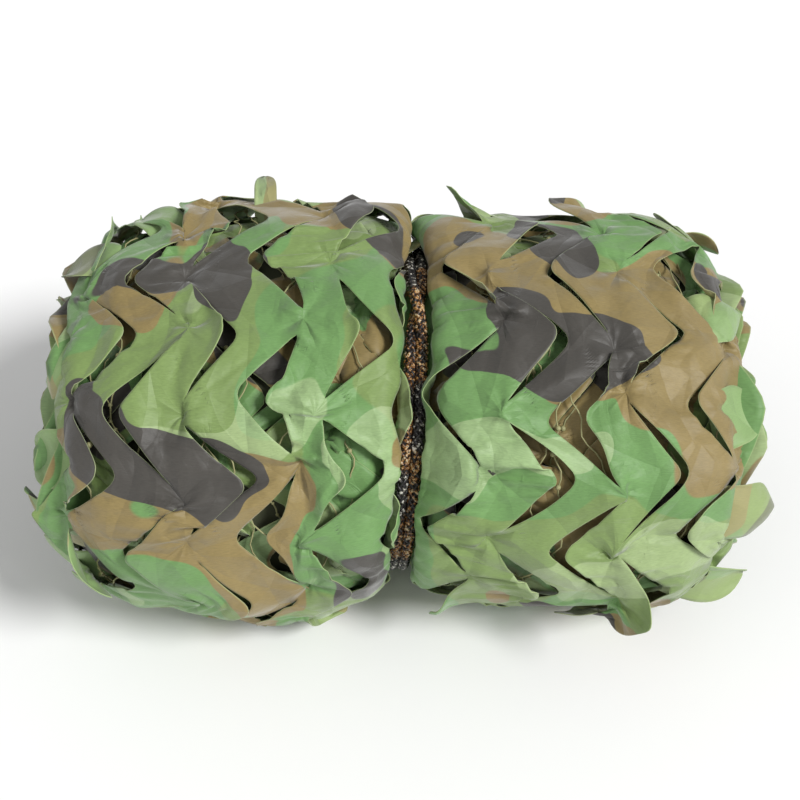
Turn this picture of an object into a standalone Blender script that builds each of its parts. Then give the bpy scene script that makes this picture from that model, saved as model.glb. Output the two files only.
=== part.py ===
"""A leaf-cut camouflage net, folded, rolled up and tied round its middle with a doubled cord.

Metres, +Z up, +X along the roll. The roll lies on the plane z = 0 on a small flat spot and its front
is towards -Y. Angles round the roll start at the front, rise over the top and come back underneath.
"""

import math

import bmesh
import bpy
import numpy as np
from mathutils import Vector

# ---- The roll -------------------------------------------------------------------------------------
HALF_DEPTH = 0.147  # of the fullest section, front to back
HALF_HEIGHT = 0.121  # of the fullest section, up and down
SQUARENESS = 2.15  # 2 is an ellipse
FLAT_SPOT_SINK = 0.0095  # how much of the round underside the floor presses flat
CORE_HEIGHT = HALF_HEIGHT - FLAT_SPOT_SINK

# Along the roll from the left rim to the right one: the place, measured from the tie, and its share of
# the fullest section.
MERIDIAN = (
    # x_m, share
    (-0.210, 0.760),
    (-0.197, 0.880),
    (-0.173, 0.965),
    (-0.130, 1.010),
    (-0.084, 1.012),
    (-0.046, 0.975),
    (-0.025, 0.915),
    (-0.0135, 0.820),
    (-0.0100, 0.722),
    (0.0100, 0.722),
    (0.0135, 0.815),
    (0.025, 0.900),
    (0.048, 0.955),
    (0.086, 0.985),
    (0.128, 0.975),
    (0.166, 0.930),
    (0.190, 0.845),
    (0.203, 0.720),
)
TIE_X = 0.0030  # the tie stands this far right of the middle of the whole object
WAIST_SLANT = 0.008  # how far the tie leans off upright to either side
WAIST_CALM = 0.030  # along the roll from the tie, where the cloth leans as much as the tie does
WAIST_SWAY = 0.120  # and where it no longer leans
END_BULGE = 0.017  # how far the middle of an end stands out past its rim

# Slow unevenness of the rolled cloth: waves round the roll, waves a metre along it, size and start.
UNEVENNESS = (
    # round, along, size, start
    (2, 19.0, 0.018, 0.4),
    (3, -31.0, 0.015, 2.1),
    (5, 47.0, 0.010, 4.0),
)
EVEN_BY_TIE = (0.015, 0.070)  # over the cloth from the tie, where the unevenness sets in
LOOSE_EDGE_ROUND = 205  # degrees round the roll, where the outer turn of the cloth ends
LOOSE_EDGE_STEP = 0.0065  # how far it stands off the turn below

# ---- The leaf cuts --------------------------------------------------------------------------------
STRIP = 0.0365  # between one zigzag line of cuts and the next
FIRST_LINE = 0.050  # from the tie over the cloth to the first line on its right, whose bends point left
RIM_MARGIN = 0.012  # from the last line to the rim, at least
LEAF_START = -12  # degrees round the roll, where one leaf of a line that points right has its tip
ZIGZAG = 0.0150  # how far each line swings to either side
LEAVES_ROUND = 9  # leaves in one line round the roll
ROWS_PER_LEAF = 8
ROWS = LEAVES_ROUND * ROWS_PER_LEAF
LEAST_LIFT = 0.0045  # how far a leaf's tip stands off the roll
MOST_LIFT = 0.0170
NOTCH_SET_BACK = 0.0045  # from the line of the cut to the edge of the cloth that stays flat
POCKET_REACH = 0.0065  # how far the hollow goes in under a leaf
POCKET_DEPTH = 0.0042
LEAF_CURL = 0.0040  # how far a lifted tip leans out past its cut
TIP_LEAN = 1.3  # in set-backs: how far an open leaf's tip lies from where it would be shut
BEND_SHARE = 0.05  # of a leaf to either side of its tip, where it is fully open
CUT_SHARE = 0.44  # of a leaf to either side of its tip, where its cut ends
ROUND_BEND = 0.35  # how much of the swing is a smooth wave
SHARP_BEND = 0.60  # and how much is a plain zigzag
SHUT_BELOW = -0.97  # height over half the section's height, under which no leaf opens
OPEN_ABOVE = -0.70  # and over which every leaf is free to open
LEAF_SEED = 11
CLOTH_PUFF = 0.0008  # the middle of a strip between its cuts stands this much higher
MIDDLE_SHARE = 0.42  # and takes this share of the lift of its leaves
PLEAT_HEIGHT = 0.0022  # the creases that run out from under the tie
PLEAT_START = (0.013, 0.026)  # over the cloth from the tie, where they rise
PLEAT_END = (0.040, 0.085)  # and where they fade out
WAIST_REACH = 0.030  # over the cloth, to either side of the tie, where no line of cuts runs
WAIST_FREE = 0.066  # over the cloth from the tie, where the leaves open as anywhere else

# ---- The ends -------------------------------------------------------------------------------------
END_STEPS = 36  # round one turn of the spiral
END_TURNS = 5
TURN_RIDGE = 0.0050  # how far the edge of each turn stands out, and the fold beside it sinks in
RIM_FADE = 3.0  # how fast the ridges rise from the rim inwards
HUB_SHARE = 0.04  # of the way from the middle of an end to its rim
RIDGE_UNEVENNESS = 0.45  # share of it by which the ridges rise and fall

# ---- Leaves that stand well clear of the roll -----------------------------------------------------
# The place along the roll and round it, which way the leaf lies seen from outside (0 is to the right,
# 90 is on round the roll), how steeply it stands, and its size.
LEAF_THICKNESS = 0.0024
LEAF_ROOT = 0.0100  # how much of each leaf lies inside the roll
LEAF_SINK = 0.0050  # how far under the smooth cloth it starts
LEAF_OUTLINE = (
    # share of the length, share of the width
    (-1.0, 0.80),
    (0.0, 1.00),
    (0.35, 0.95),
    (0.70, 0.72),
    (0.90, 0.42),
    (1.0, 0.16),
)
STANDING_LEAVES = (
    # x_m, round_deg, heading_deg, rise_deg, length_m, width_m, curl_deg
    (-0.083, 122, 100, 66, 0.046, 0.015, 10),
    (-0.034, 126, 80, 52, 0.032, 0.026, 40),
    (-0.156, 118, 130, 30, 0.034, 0.034, 25),
    (-0.192, 100, 165, 34, 0.036, 0.036, 20),
    (-0.200, 62, 175, 34, 0.036, 0.036, 20),
    (-0.204, 30, 200, 40, 0.036, 0.036, 20),
    (-0.205, 2, 165, 38, 0.038, 0.036, 20),
    (-0.202, -22, 200, 34, 0.036, 0.036, 20),
    (-0.186, -38, 215, 30, 0.036, 0.036, 20),
    (-0.120, -44, 260, 26, 0.032, 0.038, 20),
    (-0.056, -40, 290, 24, 0.032, 0.034, 15),
    (0.040, -46, 255, 26, 0.034, 0.034, 15),
    (0.122, -44, 280, 28, 0.036, 0.036, 20),
    (0.174, -30, 320, 32, 0.042, 0.038, 20),
    (0.194, 10, 350, 40, 0.046, 0.036, 25),
    (0.194, 44, 15, 36, 0.036, 0.036, 20),
    (0.186, 78, 15, 34, 0.034, 0.036, 20),
    (0.156, 112, 40, 30, 0.032, 0.036, 25),
    (0.060, 128, 110, 30, 0.030, 0.034, 30),
    (0.188, 140, 0, 34, 0.036, 0.036, 20),
    (0.194, 178, 10, 36, 0.036, 0.036, 20),
    (0.130, 168, 250, 26, 0.034, 0.036, 20),
    (-0.140, 166, 280, 26, 0.034, 0.036, 20),
    (-0.200, 144, 180, 36, 0.036, 0.036, 20),
    (-0.203, 184, 170, 38, 0.036, 0.036, 20),
    (-0.194, 216, 190, 32, 0.034, 0.036, 20),
    (0.188, 214, 350, 34, 0.034, 0.036, 20),
)

# ---- The tie --------------------------------------------------------------------------------------
STRAND_RADIUS = 0.0040
STRAND_SPACING = 0.0072  # between the middles of the two strands, which press into each other
TIE_CLEARANCE = 0.0004
TIE_STEPS = 66
STRAND_SIDES = 7  # round the outer part of each strand
CROSSING_ROUND = 84  # degrees round the roll where one strand crosses over the other
CROSSING_LENGTH = 44  # degrees
KNOT_ROUND = 228  # degrees round the roll, low on the back
# The strands of the knot over the tie: each row is a point of one strand, in strand radii from the
# middle of the knot.
KNOT_STRANDS = {
    "under_pass": (
        # along, out, across
        (-2.2, 0.1, 1.1),
        (-1.6, 1.3, 1.3),
        (0.0, 1.8, 0.0),
        (1.6, 1.3, -1.3),
        (2.2, 0.1, -1.1),
    ),
    "over_pass": (
        # along, out, across
        (-1.8, 0.2, -1.4),
        (-1.4, 1.9, -1.3),
        (0.0, 3.3, 0.0),
        (1.4, 1.9, 1.3),
        (1.8, 0.2, 1.4),
    ),
    "short_end_above": (
        # along, out, across
        (0.6, 2.0, -0.5),
        (2.6, 2.3, -0.9),
        (4.4, 1.9, -0.7),
        (6.2, 1.8, -0.9),
    ),
    "short_end_below": (
        # along, out, across
        (-0.6, 2.0, 0.5),
        (-2.6, 2.3, 0.9),
        (-4.2, 1.9, 0.8),
        (-5.8, 1.8, 0.9),
    ),
}


# ---- Scene ----------------------------------------------------------------------------------------
def clear_scene():
    for thing in list(bpy.data.objects):
        bpy.data.objects.remove(thing, do_unlink=True)


def new_collection(name, helper=False):
    made = bpy.data.collections.new(name)
    made.hide_render = helper
    bpy.context.scene.collection.children.link(made)
    return made


def plain_material(name, colour, roughness):
    material = bpy.data.materials.new(name)
    material.use_nodes = True
    shader = material.node_tree.nodes["Principled BSDF"]
    shader.inputs["Base Color"].default_value = (*colour, 1.0)
    shader.inputs["Roughness"].default_value = roughness
    shader.inputs["Metallic"].default_value = 0.0
    return material


def mesh_object(name, points, faces, collection):
    """An object from points and faces, its faces turned to look outwards."""
    shape = bmesh.new()
    made = [shape.verts.new(point) for point in points]
    for face in faces:
        shape.faces.new([made[index] for index in face])
    bmesh.ops.recalc_face_normals(shape, faces=shape.faces)
    mesh = bpy.data.meshes.new(name)
    shape.to_mesh(mesh)
    shape.free()
    thing = bpy.data.objects.new(name, mesh)
    collection.objects.link(thing)
    return thing


# ---- The shape of the rolled cloth ----------------------------------------------------------------
def smooth_step(value, low, high):
    part = np.clip((value - low) / (high - low), 0.0, 1.0)
    return part * part * (3.0 - 2.0 * part)


TABLE = np.array(MERIDIAN)
MEAN_RADIUS = math.sqrt(HALF_DEPTH * HALF_HEIGHT)
STEPS_ALONG = np.hypot(np.diff(TABLE[:, 0]), np.diff(TABLE[:, 1]) * MEAN_RADIUS)
ALONG = np.concatenate(([0.0], np.cumsum(STEPS_ALONG)))  # metres over the cloth from the left rim
CLOTH_WIDTH = ALONG[-1]
WAIST = float(np.interp(0.0, TABLE[:, 0], ALONG))


def meridian(along):
    """The place along the roll and the share of the full section, at a distance over the cloth."""
    return np.interp(along, ALONG, TABLE[:, 0]), np.interp(along, ALONG, TABLE[:, 1])


def section(turn):
    """One fullest section at an angle round the roll, in radians: its y and its height."""
    across, up = np.cos(turn), np.sin(turn)
    power = 2.0 / SQUARENESS
    y = -HALF_DEPTH * np.sign(across) * np.abs(across) ** power
    return y, HALF_HEIGHT * np.sign(up) * np.abs(up) ** power


def waist_shift(x, turn):
    """The tie runs at a slant, and the cloth beside it goes with it."""
    near = 1.0 - smooth_step(np.abs(x), WAIST_CALM, WAIST_SWAY)
    return near * WAIST_SLANT * (np.sin(turn) - 0.2)


def uneven(along, turn):
    total = np.ones_like(along + turn)
    for waves, waves_along, size, start in UNEVENNESS:
        total = total + size * np.sin(waves * turn + waves_along * along + start)
    calm = smooth_step(np.abs(along - WAIST), *EVEN_BY_TIE)
    return 1.0 + (total - 1.0) * calm


def skin(along, turn):
    """A point of the smooth rolled cloth, before the floor presses it flat."""
    x, share = meridian(along)
    y, z = section(turn)
    share = share * uneven(along, turn)
    place = TIE_X + x + waist_shift(x, turn)
    return np.stack((place, y * share, CORE_HEIGHT + z * share), axis=-1)


def outward(along, turn):
    """The direction straight out of the cloth."""
    reach = 0.004
    over = skin(along + reach, turn) - skin(along - reach, turn)
    around = skin(along, turn + reach / MEAN_RADIUS) - skin(along, turn - reach / MEAN_RADIUS)
    normal = np.cross(over, around)
    return normal / np.linalg.norm(normal, axis=-1, keepdims=True)


def pressed(points):
    """The floor holds the underside flat."""
    points[..., 2] = np.maximum(points[..., 2], 0.0)
    return points


# ---- The leaf cuts on it --------------------------------------------------------------------------
def swing(phase):
    """A zigzag with rounded bends: -1 at half a leaf, where its bends point left."""
    triangle = 1.0 - 4.0 * np.abs((phase + 0.5) % 1.0 - 0.5)
    return ROUND_BEND * np.sin(triangle * math.pi / 2.0) + SHARP_BEND * triangle


def leaf_columns(rng):
    """Each column of the cloth: its distance over the cloth and its height off it, for every row."""
    rows = np.arange(ROWS)
    turn = 2.0 * math.pi * rows / ROWS + math.radians(LEAF_START)
    phase = rows / ROWS_PER_LEAF
    clear_of_floor = smooth_step(np.sin(turn), SHUT_BELOW, OPEN_ABOVE)
    columns = []
    strip_lift = np.zeros(ROWS)
    first = math.ceil((RIM_MARGIN - WAIST - FIRST_LINE) / STRIP)
    last = math.floor((CLOTH_WIDTH - RIM_MARGIN - WAIST - FIRST_LINE) / STRIP)
    for line in range(first, last + 1):
        place = WAIST + FIRST_LINE + line * STRIP
        calm = float(smooth_step(abs(place - WAIST), WAIST_REACH, WAIST_FREE))
        zigzag = place + ZIGZAG * calm * swing(phase)
        points_left = line % 2 == 0
        side = 1.0 if points_left else -1.0
        centre = 0.5 if points_left else 0.0
        off_centre = np.abs((phase - centre + 0.5) % 1.0 - 0.5)
        open_share = (1.0 - smooth_step(off_centre, BEND_SHARE, CUT_SHARE)) * clear_of_floor * calm
        leaf = np.floor(phase - centre + 0.5).astype(int) % LEAVES_ROUND
        lift = rng.uniform(LEAST_LIFT, MOST_LIFT, LEAVES_ROUND)[leaf] * open_share
        curl = rng.uniform(0.0, LEAF_CURL, LEAVES_ROUND)[leaf] * open_share
        edge = zigzag - side * NOTCH_SET_BACK
        pocket = zigzag + side * POCKET_REACH * open_share
        tip = zigzag + side * (NOTCH_SET_BACK * (1.0 - TIP_LEAN * open_share) - curl)
        made = [
            (edge, np.zeros(ROWS)),
            (pocket, -POCKET_DEPTH * open_share),
            (tip, lift),
        ]
        if not points_left:
            made.reverse()
        if line > first:
            both = strip_lift + (lift if not points_left else 0.0)
            columns.append((place - STRIP / 2.0, zigzag - STRIP / 2.0, CLOTH_PUFF + MIDDLE_SHARE * both))
        for step, (along, height) in enumerate(made):
            columns.append((place + (step - 1) * NOTCH_SET_BACK, along, height))
        strip_lift = lift if points_left else np.zeros(ROWS)
    kept = [column for column in columns if abs(column[0] - WAIST) > WAIST_REACH]
    plain = [along for along in ALONG if abs(along - WAIST) < WAIST_REACH] + [0.0, CLOTH_WIDTH]
    kept += [(along, np.full(ROWS, along), np.zeros(ROWS)) for along in plain]
    kept.sort(key=lambda column: column[0])
    return turn, kept


def pleats(along, rows):
    """Alternate rows stand up and sink beside the tie, where the cloth is gathered."""
    off = np.abs(along - WAIST)
    band = smooth_step(off, *PLEAT_START) * (1.0 - smooth_step(off, *PLEAT_END))
    return PLEAT_HEIGHT * band * np.where(rows % 2 == 0, 1.0, -1.0)


def loose_edge(along, turn_share):
    """The outer turn lies ever further out until its edge, where the cloth drops to the turn below."""
    off_tie = smooth_step(np.abs(along - WAIST), *EVEN_BY_TIE)
    after_edge = (turn_share - LOOSE_EDGE_ROUND / 360.0) % 1.0
    return LOOSE_EDGE_STEP * off_tie * (after_edge - 0.5)


def cloth_grid():
    """The outer turn as columns of points, from the left rim to the right one."""
    turn, columns = leaf_columns(np.random.default_rng(LEAF_SEED))
    rows = np.arange(ROWS)
    turn_share = turn / (2.0 * math.pi)
    grid = []
    for _, along, height in columns:
        along = np.clip(along, 0.0, CLOTH_WIDTH)
        height = height + pleats(along, rows) + loose_edge(along, turn_share)
        points = skin(along, turn) + outward(along, turn) * height[:, None]
        grid.append(pressed(points))
    return grid


# ---- The spiral of turns at an end ----------------------------------------------------------------
def end_point(rim, middle, side, share, level, step):
    """A point of an end, at a share of the way from its middle to its rim."""
    base = middle + (rim - middle) * share
    bulge = END_BULGE * (1.0 - share**2)
    round_end = 2.0 * math.pi * step / END_STEPS
    size = 1.0 + RIDGE_UNEVENNESS * math.sin(3.0 * round_end + 1.7 * level + side)
    ridge = TURN_RIDGE * size * (1.0 if level % 2 else -1.0) * min(1.0, RIM_FADE * (1.0 - share))
    return Vector(base) + Vector((side * (bulge + ridge), 0.0, 0.0))


def add_end(points, faces, rim_index, side):
    """Closes one end with the edges of the turns, wound in a spiral from the middle to the rim."""
    rim = [np.array(points[index]) for index in rim_index]
    middle = np.mean(rim, axis=0)
    per_step = ROWS // END_STEPS
    levels = 2 * END_TURNS
    widest = levels + 2.0
    index_of = {}

    def vertex(level, step):
        if step == END_STEPS:
            level, step = level + 2, 0
        if (level, step) not in index_of:
            share = (level + 1.0 + 2.0 * step / END_STEPS) / (widest + 1.0)
            corner = rim[step * per_step]
            index_of[level, step] = len(points)
            points.append(end_point(corner, middle, side, share, level, step))
        return index_of[level, step]

    for level in range(levels - 1):
        for step in range(END_STEPS):
            low, high = vertex(level, step), vertex(level, step + 1)
            faces.append((low, high, vertex(level + 1, step + 1), vertex(level + 1, step)))
    # The hub lies a little off the middle, on the side where the innermost turn is widest.
    off_middle = (rim[ROWS * 3 // 4] - middle) * HUB_SHARE
    hub = len(points)
    points.append(Vector(middle + off_middle) + Vector((side * END_BULGE, 0.0, 0.0)))
    inner = [vertex(0, step) for step in range(END_STEPS)] + [vertex(2, 0), vertex(1, 0)]
    for first, second in zip(inner, inner[1:] + inner[:1]):
        faces.append((hub, first, second))
    outer = [vertex(levels - 1, step) for step in range(END_STEPS + 1)]
    for step in range(END_STEPS):
        ring = [rim_index[(step * per_step + extra) % ROWS] for extra in range(per_step + 1)]
        faces.append((outer[step], ring[0], ring[1]))
        faces.append((outer[step], ring[1], outer[step + 1]))
        faces.append((outer[step + 1], ring[1], ring[2]))
    faces.append((outer[0], vertex(levels, 0), rim_index[0]))
    faces.append((vertex(levels, 0), outer[END_STEPS], rim_index[0]))


def build_roll(collection):
    grid = cloth_grid()
    points = [tuple(point) for column in grid for point in column]
    faces = []
    for column in range(len(grid) - 1):
        for row in range(ROWS):
            nearer, further = column * ROWS, (column + 1) * ROWS
            after = (row + 1) % ROWS
            faces.append((nearer + row, further + row, further + after, nearer + after))
    last = (len(grid) - 1) * ROWS
    add_end(points, faces, list(range(ROWS)), -1.0)
    add_end(points, faces, list(range(last, last + ROWS)), 1.0)
    return mesh_object("net_roll", points, faces, collection)


# ---- Leaves that stand clear ----------------------------------------------------------------------
def standing_leaf(number, row, collection):
    """One tongue of cloth, rooted in the roll: a strip that widens, curls over and narrows to a tip."""
    x, round_deg, heading_deg, rise_deg, length, width, curl_deg = row
    turn = np.float64(math.radians(round_deg))
    along = np.interp(x - TIE_X, TABLE[:, 0], ALONG)
    normal = Vector(outward(along, turn))
    root = Vector(skin(along, turn)) - normal * LEAF_SINK
    over = Vector(skin(along + 0.002, turn) - skin(along - 0.002, turn)).normalized()
    around = normal.cross(over)
    heading = math.radians(heading_deg)
    forward = over * math.cos(heading) + around * math.sin(heading)
    sideways = normal.cross(forward)
    place = root
    at, points = 0.0, []
    for share, wide in LEAF_OUTLINE:
        bend = math.radians(rise_deg - curl_deg * max(share, 0.0))
        direction = forward * math.cos(bend) + normal * math.sin(bend)
        thick = direction.cross(sideways)
        if share > 0.0:
            place = place + direction * length * (share - at)
        else:
            place = root + direction * LEAF_ROOT * share
        at = max(share, 0.0)
        half = sideways * width * wide / 2.0
        skin_half = thick * LEAF_THICKNESS / 2.0
        for a, b in ((1, 1), (-1, 1), (-1, -1), (1, -1)):
            points.append(place + half * a + skin_half * b)
    faces = [(3, 2, 1, 0)]
    for ring in range(len(LEAF_OUTLINE) - 1):
        for corner in range(4):
            after = (corner + 1) % 4
            low, high = 4 * ring, 4 * ring + 4
            faces.append((low + corner, low + after, high + after, high + corner))
    top = 4 * (len(LEAF_OUTLINE) - 1)
    faces.append((top, top + 1, top + 2, top + 3))
    leaf = mesh_object(f"standing_leaf_{number:02d}", points, faces, collection)
    leaf.hide_render = True
    leaf.display_type = "WIRE"
    return leaf


def join_leaves(roll, leaves):
    union = roll.modifiers.new("standing leaves", "BOOLEAN")
    union.operation = "UNION"
    union.operand_type = "COLLECTION"
    union.solver = "MANIFOLD"
    union.collection = leaves


# ---- The tie --------------------------------------------------------------------------------------
def crossing_angle(turn):
    """How far the pair of strands has turned over at an angle round the roll."""
    start = math.radians(CROSSING_ROUND - CROSSING_LENGTH / 2.0)
    return math.pi * float(smooth_step(turn, start, start + math.radians(CROSSING_LENGTH)))


def tie_frame(turn):
    """The middle of the tie at an angle round the roll, the way along it, out of it and across it."""
    twist = crossing_angle(turn % (2.0 * math.pi))
    half_thickness = STRAND_RADIUS + abs(math.sin(twist)) * STRAND_SPACING / 2.0

    def bed(angle):
        return Vector(skin(np.float64(WAIST), np.float64(angle)))

    forward = (bed(turn + 0.01) - bed(turn - 0.01)).normalized()
    out = forward.cross(Vector((1.0, 0.0, 0.0))).normalized()
    if out.dot(bed(turn) - Vector((0.0, 0.0, CORE_HEIGHT))) < 0.0:
        out = -out
    across = forward.cross(out)
    middle = bed(turn) + out * (half_thickness + TIE_CLEARANCE)
    return middle, out, across, twist


def pair_outline():
    """The outline of two round strands side by side, as offsets across and out."""
    half = STRAND_SPACING / 2.0
    opening = math.acos(half / STRAND_RADIUS)
    outline = []
    for side in (1.0, -1.0):
        for step in range(STRAND_SIDES):
            angle = (math.pi - opening) * (2.0 * step / (STRAND_SIDES - 1) - 1.0)
            across = half + STRAND_RADIUS * math.cos(angle)
            outline.append((side * across, side * STRAND_RADIUS * math.sin(angle)))
    kept = [outline[0]]
    for point in outline[1:]:
        if math.dist(point, kept[-1]) > 1e-5 and math.dist(point, kept[0]) > 1e-5:
            kept.append(point)
    return kept


def build_tie(collection):
    outline = pair_outline()
    points, faces = [], []
    for step in range(TIE_STEPS):
        middle, out, across, twist = tie_frame(2.0 * math.pi * step / TIE_STEPS)
        turned_across = across * math.cos(twist) + out * math.sin(twist)
        turned_out = out * math.cos(twist) - across * math.sin(twist)
        for a, b in outline:
            points.append(middle + turned_across * a + turned_out * b)
    sides = len(outline)
    for step in range(TIE_STEPS):
        # The pair has turned half over after one round, so each strand runs on into the other.
        shift = sides // 2 if step == TIE_STEPS - 1 else 0
        near, far = step * sides, (step + 1) % TIE_STEPS * sides
        for side in range(sides):
            after = (side + 1) % sides
            faces.append(
                (near + side, near + after, far + (after + shift) % sides, far + (side + shift) % sides)
            )
    return mesh_object("tie_cord", points, faces, collection)


def knot_strand(name, offsets, strands):
    """One short tube of the knot, laid over the tie and joined to it."""
    middle, out, across, _ = tie_frame(math.radians(KNOT_ROUND))
    forward = out.cross(across)
    curve = bpy.data.curves.new(name, "CURVE")
    curve.dimensions = "3D"
    curve.bevel_depth = STRAND_RADIUS
    curve.bevel_resolution = 2
    curve.use_fill_caps = True
    curve.resolution_u = 3
    spline = curve.splines.new("BEZIER")
    spline.bezier_points.add(len(offsets) - 1)
    for point, (a, b, c) in zip(spline.bezier_points, offsets):
        point.co = middle + (forward * a + out * b + across * c) * STRAND_RADIUS
        point.handle_left_type = "AUTO"
        point.handle_right_type = "AUTO"
    guide = bpy.data.objects.new(name, curve)
    strands.objects.link(guide)
    bpy.context.view_layer.update()
    evaluated = guide.evaluated_get(bpy.context.evaluated_depsgraph_get())
    mesh = bpy.data.meshes.new_from_object(evaluated)
    shape = bmesh.new()
    shape.from_mesh(mesh)
    bmesh.ops.remove_doubles(shape, verts=shape.verts, dist=0.00001)
    bmesh.ops.recalc_face_normals(shape, faces=shape.faces)
    shape.to_mesh(mesh)
    shape.free()
    bpy.data.objects.remove(guide, do_unlink=True)
    strand = bpy.data.objects.new(name, mesh)
    strands.objects.link(strand)
    strand.hide_render = True
    strand.display_type = "WIRE"
    return strand


def join_knot(tie, strands):
    for name, offsets in KNOT_STRANDS.items():
        union = tie.modifiers.new(name, "BOOLEAN")
        union.operation = "UNION"
        union.solver = "MANIFOLD"  # the exact solver drops the ring itself here
        union.object = knot_strand(name, offsets, strands)


def main():
    clear_scene()
    parts = new_collection("camouflage_net")
    leaves = new_collection("joined_leaves", helper=True)
    strands = new_collection("joined_strands", helper=True)
    roll = build_roll(parts)
    roll.data.materials.append(plain_material("camouflage cloth", (0.16, 0.27, 0.11), 0.6))
    for number, row in enumerate(STANDING_LEAVES):
        standing_leaf(number, row, leaves)
    join_leaves(roll, leaves)
    tie = build_tie(parts)
    tie.data.materials.append(plain_material("tie cord", (0.10, 0.06, 0.03), 0.8))
    join_knot(tie, strands)


main()
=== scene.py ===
# %% [markdown]
# # A camouflage net, rolled up and tied round its middle
# The real object is a thin coated polyester sheet, printed in a few colours and cut with rows of zigzag
# slits. Pulled sideways, the slits gape and their round corners stand up as leaves. A string mesh
# behind the sheet holds it together. Here the net is folded, rolled up and tied with a doubled cord.
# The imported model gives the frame: every piece below sits where its solids say.

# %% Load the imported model
import math

import bpy
import numpy as np
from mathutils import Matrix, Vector


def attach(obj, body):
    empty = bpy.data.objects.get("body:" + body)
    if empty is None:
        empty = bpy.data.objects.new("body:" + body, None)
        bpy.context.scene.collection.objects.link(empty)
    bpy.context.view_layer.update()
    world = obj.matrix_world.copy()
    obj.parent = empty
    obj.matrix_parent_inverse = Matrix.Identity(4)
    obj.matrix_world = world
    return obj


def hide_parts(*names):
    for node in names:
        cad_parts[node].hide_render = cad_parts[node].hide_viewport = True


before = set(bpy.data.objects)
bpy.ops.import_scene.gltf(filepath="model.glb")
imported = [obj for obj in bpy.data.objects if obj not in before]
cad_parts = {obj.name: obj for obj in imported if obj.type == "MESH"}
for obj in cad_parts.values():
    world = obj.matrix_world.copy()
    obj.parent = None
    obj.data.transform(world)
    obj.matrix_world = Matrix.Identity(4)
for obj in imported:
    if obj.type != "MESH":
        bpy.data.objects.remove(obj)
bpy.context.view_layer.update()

# %% [markdown]
# ## The shape of the roll
# A net rolled by hand is not quite round: it is deeper than it is high, pinched where the tie runs and
# rounded off at its rims. It could be sculpted, but then nothing else would know where its surface is.
# So the skin is a function: a distance over the cloth and an angle round the roll give a point. The
# sheet, the string, the ends and the tie all ask the same function, as the solids did.

# %% The roll's sizes, in metres
HALF_DEPTH = 0.147
HALF_HEIGHT = 0.121
SQUARENESS = 2.15
CORE_HEIGHT = HALF_HEIGHT - 0.0095  # the floor presses the underside flat
TIE_X = 0.0030
WAIST_SLANT = 0.008
WAIST_CALM = 0.030
WAIST_SWAY = 0.120
END_BULGE = 0.017
MERIDIAN = np.array((
    # x from the tie, share of the fullest section
    (-0.210, 0.760),
    (-0.197, 0.880),
    (-0.173, 0.965),
    (-0.130, 1.010),
    (-0.084, 1.012),
    (-0.046, 0.975),
    (-0.025, 0.915),
    (-0.0135, 0.820),
    (-0.0100, 0.722),
    (0.0100, 0.722),
    (0.0135, 0.815),
    (0.025, 0.900),
    (0.048, 0.955),
    (0.086, 0.985),
    (0.128, 0.975),
    (0.166, 0.930),
    (0.190, 0.845),
    (0.203, 0.720),
))
UNEVENNESS = (
    # waves round, waves along, size, start
    (2, 19.0, 0.018, 0.4),
    (3, -31.0, 0.015, 2.1),
    (5, 47.0, 0.010, 4.0),
)
EVEN_BY_TIE = (0.015, 0.070)
LOOSE_EDGE_ROUND = math.radians(205)  # where the outer turn of the cloth ends
LOOSE_EDGE_STEP = 0.0065
RIM_RUN = 0.15  # beyond the rim the cloth hangs over the end: its way out
RIM_DROP = 0.98  # and its way in
MEAN_RADIUS = math.sqrt(HALF_DEPTH * HALF_HEIGHT)
ALONG = np.concatenate((
    [0.0],
    np.cumsum(np.hypot(np.diff(MERIDIAN[:, 0]), np.diff(MERIDIAN[:, 1]) * MEAN_RADIUS)),
))
CLOTH_WIDTH = float(ALONG[-1])
WAIST = float(np.interp(0.0, MERIDIAN[:, 0], ALONG))
print(f"cloth over the roll: {CLOTH_WIDTH:.3f} m wide, the tie at {WAIST:.3f} m")


# %% The skin as a function
def smooth_step(value, low, high):
    part = np.clip((value - low) / (high - low), 0.0, 1.0)
    return part * part * (3.0 - 2.0 * part)


SOFTEN = 0.007  # the cloth bridges the corners of the table over this distance
SAMPLES_ALONG = np.linspace(-0.04, CLOTH_WIDTH + 0.04, 1200)


def softened_meridian():
    """The table of the roll's shape as a smooth curve, with straight runs past both rims."""
    past = np.maximum(SAMPLES_ALONG - CLOTH_WIDTH, 0.0)
    before = np.maximum(-SAMPLES_ALONG, 0.0)
    x = np.interp(SAMPLES_ALONG, ALONG, MERIDIAN[:, 0]) + RIM_RUN * (past - before)
    share = np.interp(SAMPLES_ALONG, ALONG, MERIDIAN[:, 1])
    share = share - RIM_DROP * (past + before) / MEAN_RADIUS
    step = SAMPLES_ALONG[1] - SAMPLES_ALONG[0]
    half = int(SOFTEN / step)
    window = np.hanning(2 * half + 3)
    window /= window.sum()
    pad = half + 1
    soft = [np.convolve(np.pad(line, pad, mode="edge"), window, "valid") for line in (x, share)]
    near_tie = 1.0 - smooth_step(np.abs(SAMPLES_ALONG - WAIST), 0.008, 0.022)
    return x, share + (soft[1] - share) * (1.0 - 0.6 * near_tie)


MERIDIAN_X, MERIDIAN_SHARE = softened_meridian()


def section(turn):
    """One fullest section at an angle round the roll, in radians: its y and its height."""
    across, up = np.cos(turn), np.sin(turn)
    power = 2.0 / SQUARENESS
    y = -HALF_DEPTH * np.sign(across) * np.abs(across) ** power
    return y, HALF_HEIGHT * np.sign(up) * np.abs(up) ** power


def uneven(along, turn):
    total = np.zeros(np.broadcast(along, turn).shape)
    for waves, waves_along, size, start in UNEVENNESS:
        total = total + size * np.sin(waves * turn + waves_along * along + start)
    return 1.0 + total * smooth_step(np.abs(along - WAIST), *EVEN_BY_TIE)


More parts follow.
